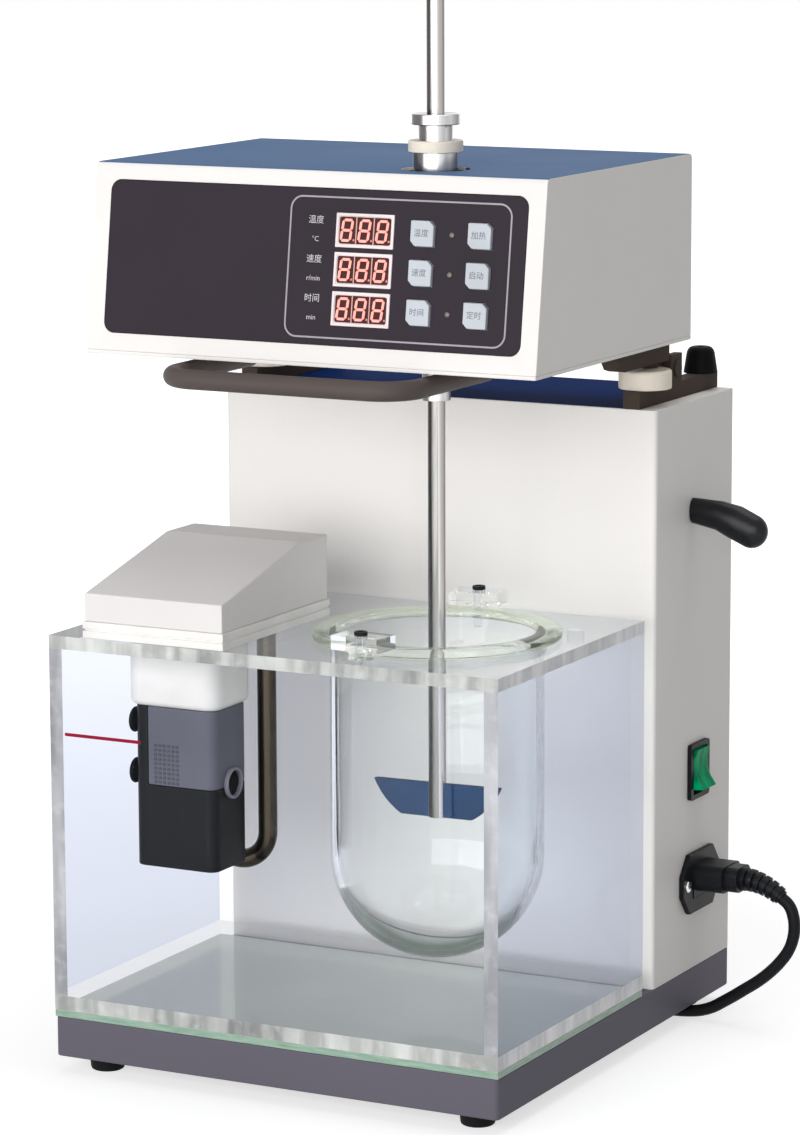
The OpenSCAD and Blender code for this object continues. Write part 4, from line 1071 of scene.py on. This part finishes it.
class HingeOperator(Step, bpy.types.Operator):
    """Hinge rails, brackets, rest discs and bumpers"""

    bl_idname = "tester.hinge"
    bl_label = "Hinge"

    BUMPER_R = 9.5

    def build(self):
        rail = moulded("rail_coat", tone(74, 64, 58), 0.6, 0.3, 0.04, 1400)
        dress("hinge_rails", rail, edge=0.5)
        dress("head_brackets", rail, edge=0.5)
        dress("hinge_pins", rail, edge=0.3)
        nylon = moulded("nylon", tint("nylon"), 0.45, 0.3)
        dress("rest_discs", nylon, edge=0.6)
        dress("chuck_ring", nylon, edge=0.5)
        bumpers = bmesh.new()
        low, high = corners("rubber_bumpers")
        tall = high.z - low.z
        profile = [(0, 0), (self.BUMPER_R, 0), (9.4, 0.8), (7.8, tall - 3.4), (7.2, tall - 1.8)]
        profile += [(6.2, tall - 0.6), (4.8, tall), (2.2, tall), (2, tall - 1.5), (0, tall - 1.5)]
        for x in (low.x + self.BUMPER_R, high.x - self.BUMPER_R):
            lathe(bumpers, profile, place(x, (low.y + high.y) / 2, low.z), 40)
        soft = moulded("bumper_rubber", shade(tint("black"), 0.3), 0.55, 0.5, 0.06, 1100)
        piece("bumpers", bumpers, [soft], "black_rubber", ("rubber_bumpers",))


class HeadOperator(Step, bpy.types.Operator):
    """Head sheets and lift handle"""

    bl_idname = "tester.head"
    bl_label = "Head"

    FLOOR_SCREWS = ((86, 112), (94, 66), (-20, 52))

    def build(self):
        # Painted reflection: the head's top faces take a blue that stands for blue surroundings mirrored in
        # the white paint.
        blue = powder_coat("head_top_painted_reflection", tint("head_top_reflection"), 0.6, 0.06)
        shell = node_mesh("head_shell")
        low, high = corners("head_shell")
        middle = (low + high) / 2
        second_finish(shell, lambda centre, normal: normal.z > 0.9 and centre.z > high.z - 0.5)
        # Painted shade: the inner faces of the head take a near-black finish so that the gap round the
        # spindle reads dark.
        second_finish(shell, lambda centre, normal: normal.dot(middle - centre) > 1, 2)
        inside_painted_shade = moulded("head_inside_painted_shade", tone(20, 20, 22), 0.7, 0.2)
        dress("head_shell", body_paint(), blue, inside_painted_shade, edge=sizes().edge / MM, bm=shell)
        dress("head_floor", body_paint(), edge=0.5)
        dress("lift_handle", moulded("handle_coat", tint("grip"), 0.55, 0.3, 0.2, 1400), angle=50)
        screws = bmesh.new()
        for x, y in self.FLOOR_SCREWS:
            screw_head(screws, 2.8, 1.8, place(x, y, HEAD_LOW.z, turned(180, "X")))
        piece("floor_screws", screws, [bright_steel()], "bright_steel", body="head")
        coat("drive_motor", aluminium())
        # Painted shade: the bearing housing is made dark grey so that the gap round the spindle reads dark.
        coat("bearing_housing", turned_metal("housing_painted_shade", tone(96, 92, 90), 0.4))
        coat("bearings", bright_steel())
        coat("drive_belt", black_rubber())
        coat("control_board", moulded("board_green", tone(36, 96, 60), 0.4, 0.4, scale=500))


class ControlsOperator(Step, bpy.types.Operator):
    """Control panel with displays, lights, keys and generic markings"""

    bl_idname = "tester.controls"
    bl_label = "Controls"

    NAMES = ("温度", "速度", "时间")
    UNITS = ("°C", "r/min", "min")
    KEYS = ("温度", "加热", "速度", "启动", "时间", "定时")
    # Line round the controls: width, height and corner radius, and the place of its middle.
    FIELD, FIELD_AT = (128.5, 73.7, 7), (50.25, 51.85)
    # Markings beside a display: their place across, and the size and rise of a name and of a unit.
    MARK_X, NAME, UNIT = 1.6, (4.6, 4.6), (3.8, -5.2)
    KEY_MARK, KEY_TOP = 4.3, 2.02
    DIGITS, RIBS = (-10.3, 0, 10.3), (-5.1, 5.1)
    DOT, DOT_AT = ((0, 0.08), (0.62, 0.08), (0.62, 0.2), (0, 0.22)), (3.9, -5)
    LENS = ((0, -8), (1.45, -8), (1.45, 0), (1.3, 0.35), (0.8, 0.6), (0, 0.7))

    def build(self):
        film = moulded("panel_film", tint("panel"), 0.5, 0.2, 0.06, 2200)
        dress("front_panel", film, edge=0.2)
        ink = moulded("pale_ink", tone(206, 202, 206), 0.5, 0.1)
        outline = bmesh.new()
        line = sizes().outline / MM
        rounded_slab(outline, *self.FIELD, 0, 0.06, PANEL @ moved(*self.FIELD_AT), 7, line)
        grey = moulded("grey_ink", tone(164, 160, 166), 0.5, 0.1)
        piece("controls_outline", outline, [grey], "display_white", body="head")
        self.displays()
        self.lights()
        self.keys()
        for row, (name, unit) in enumerate(zip(self.NAMES, self.UNITS)):
            for tag, text, (size, rise) in (("name", name, self.NAME), ("unit", unit, self.UNIT)):
                where = PANEL @ moved(self.MARK_X, ROWS[row] + rise, 0.03)
                lettering(f"mark_{tag}_{row + 1}", text, size, where, ink, "head", "display_white")

    def displays(self):
        frame = moulded("display_frame", tone(240, 226, 226), 0.4, 0.15)
        dress("displays", frame, edge=0.3)
        glass, ribs, segments, dots = (bmesh.new() for _ in range(4))
        for v in ROWS:
            here = PANEL @ moved(DISPLAY_X, v)
            rounded_slab(glass, 30, 14, 1, -0.1, 0.08, here, 3)
            for x in self.RIBS:
                rounded_slab(ribs, 0.6, 13.9, 0.2, 0, 0.22, here @ moved(x, 0), 2)
            for x in self.DIGITS:
                self.eight(segments, here @ moved(x - 0.3, 0))
                lathe(dots, self.DOT, here @ moved(x, 0) @ moved(*self.DOT_AT), 16)
        for name, bm, finish in (
            ("windows", glass, moulded("display_window", tone(66, 24, 26), 0.3, 0.1, 0.1)),
            ("ribs", ribs, moulded("display_rib", tone(226, 168, 160), 0.4, 0.1)),
            ("digits", segments, glow("lit_segment", tint("digit"), 0.68)),
            ("dots", dots, glow("dim_segment", tone(190, 96, 90), 0.35)),
        ):
            piece("display_" + name, bm, [finish], "display_white", body="head")

    def eight(self, bm, matrix):
        """Seven lit bars, leaning a little."""
        lean = Matrix()
        lean[0][1] = tan(radians(7))
        half, tip, out = 2.45, 0.675, 2.65
        flat = half - tip
        bar = [(-half, 0), (-flat, -tip), (flat, -tip), (half, 0), (flat, tip), (-flat, tip)]
        bars = [(0, y, 0) for y in (2 * out, 0, -2 * out)]
        bars += [(x, y, 90) for x in (-out, out) for y in (-out, out)]
        for x, y, turn in bars:
            slab(bm, bar, 0.06, 0.3, matrix @ lean @ moved(x, y) @ turned(turn, "Z"))

    def lights(self):
        bm = bmesh.new()
        for v in ROWS:
            lathe(bm, self.LENS, PANEL @ moved(sum(KEY_COLUMNS) / 2, v), 20)
        lens = glow("lamp_lens", tone(112, 104, 98), 0.02)
        piece("lamp_lenses", bm, [lens], "led_amber", ("indicator_leds",), "head")

    def keys(self):
        cap = moulded("key_cap", tone(194, 200, 207), 0.42, 0.1)
        ink = moulded("key_ink", tone(100, 104, 116), 0.5, 0.1)
        for i, text in enumerate(self.KEYS):
            node = f"key_{i + 1}"
            dress(node, cap, edge=0.7, steps=3)
            where = PANEL @ moved(KEY_COLUMNS[i % 2] - 0.3, ROWS[i // 2], self.KEY_TOP)
            lettering(node + "_mark", text, self.KEY_MARK, where, ink, node, "key_white")


class DriveOperator(Step, bpy.types.Operator):
    """Spindle, chuck and paddle"""

    bl_idname = "tester.drive"
    bl_label = "Drive and paddle"

    # Slim collar: its radius, the least radius that is drawn in, and the start and end of the step.
    COLLAR_R, WIDE_R, STEP = 7.6, 8, (2, 2.4)
    # Its clamp screw: distance from the axis, direction in degrees and drop below the head.
    SCREW_OUT, SCREW_TURN, SCREW_DROP = 7.2, -12, 8.5
    SCREW = ((0, 0), (2.6, 0), (2.6, 2.1), (2.3, 2.5), (1.6, 2.5), (1.4, 2.2), (1.4, 1.2), (0, 1.2))

    def build(self):
        steel = bright_steel()
        # Painted reflections: the dark and light bands on the shaft and the chuck.
        streaked = steel_with_painted_reflections("shaft_steel", tone(20, 17, 18), tone(248, 244, 241), AXIS)
        chrome = steel_with_painted_reflections("chuck_chrome", tone(88, 82, 84), tone(252, 251, 251), AXIS)
        spindle = node_mesh("spindle")
        self.slim_collar(spindle)
        dress("spindle", chrome, edge=0.4, angle=40, bm=spindle)
        dress("chuck_nut", chrome, edge=0.6, angle=40)
        dress("paddle_shaft", streaked, angle=40)
        self.clamp_screw(steel)
        look = Finish("blade_coat")
        cloud = look.ramp(look.noise(40, 4), 0.3, 0.7)
        fine = look.noise(1500, 2)
        colour = tint("blade")
        look.set(
            Base_Color=look.mix(cloud, shade(colour, 0.85), shade(colour, 1.15)),
            Roughness=cloud * 0.12 + 0.48,
            Specular_IOR_Level=0.06,
            Normal=look.bump(fine, 0.0001, 0.2),
        )
        dress("paddle_blade", look.material, edge=0.4)
        coat("spindle_pulley", steel)
        coat("motor_pulley", steel)

    def slim_collar(self, bm):
        """Draws the spindle in below the head to a slim clamp collar."""
        for drop in self.STEP:
            cut(bm, spot(0, 0, HEAD_LOW.z - drop), (0, 0, 1))
        for vert in bm.verts:
            here = local(vert.co)
            x, y = here.x - AXIS[0], here.y - AXIS[1]
            reach = hypot(x, y)
            if here.z < HEAD_LOW.z - sum(self.STEP) / 2 and reach > self.WIDE_R:
                slim = self.COLLAR_R / reach
                vert.co = spot(AXIS[0] + x * slim, AXIS[1] + y * slim, here.z)

    def clamp_screw(self, finish):
        """Socket screw in the side of the collar."""
        bm = bmesh.new()
        turn = turned(self.SCREW_TURN, "Z") @ turned(90, "Y")
        x, y = around(self.SCREW_OUT, self.SCREW_TURN)
        lathe(bm, self.SCREW, place(x, y, HEAD_LOW.z - self.SCREW_DROP, turn), 24)
        piece("collar_screw", bm, [finish], SLOT_OF["spindle"], body=BODY_OF["spindle"])


PIECES = (
    LeadOperator, BaseOperator, BathOperator, VesselOperator, CirculatorOperator, ColumnOperator,
    SideOperator, HingeOperator, HeadOperator, ControlsOperator, DriveOperator,
)


class TesterPanel(bpy.types.Panel):
    """Lists the pieces of the tester in the sidebar"""

    bl_idname = "VIEW3D_PT_tester"
    bl_label = "Dissolution tester"
    bl_space_type = "VIEW_3D"
    bl_region_type = "UI"
    bl_category = "Tester"

    def draw(self, context):
        for operator in (StageOperator, *PIECES):
            self.layout.operator(operator.bl_idname)
        for group in (context.scene.tester_colours, context.scene.tester_sizes):
            # The first two properties of a group are its own type and name.
            for key in group.bl_rna.properties.keys()[2:]:
                self.layout.prop(group, key)


CLASSES = (TesterColours, TesterSizes, StageOperator, *PIECES, TesterPanel)


def register():
    for cls in CLASSES:
        bpy.utils.register_class(cls)
    bpy.types.Scene.tester_colours = PointerProperty(type=TesterColours)
    bpy.types.Scene.tester_sizes = PointerProperty(type=TesterSizes)


def unregister():
    del bpy.types.Scene.tester_colours
    del bpy.types.Scene.tester_sizes
    for cls in reversed(CLASSES):
        bpy.utils.unregister_class(cls)


def main():
    register()
    for operator in (StageOperator, *PIECES):
        group, action = operator.bl_idname.split(".")
        getattr(getattr(bpy.ops, group), action)()


if __name__ == "__main__":
    main()
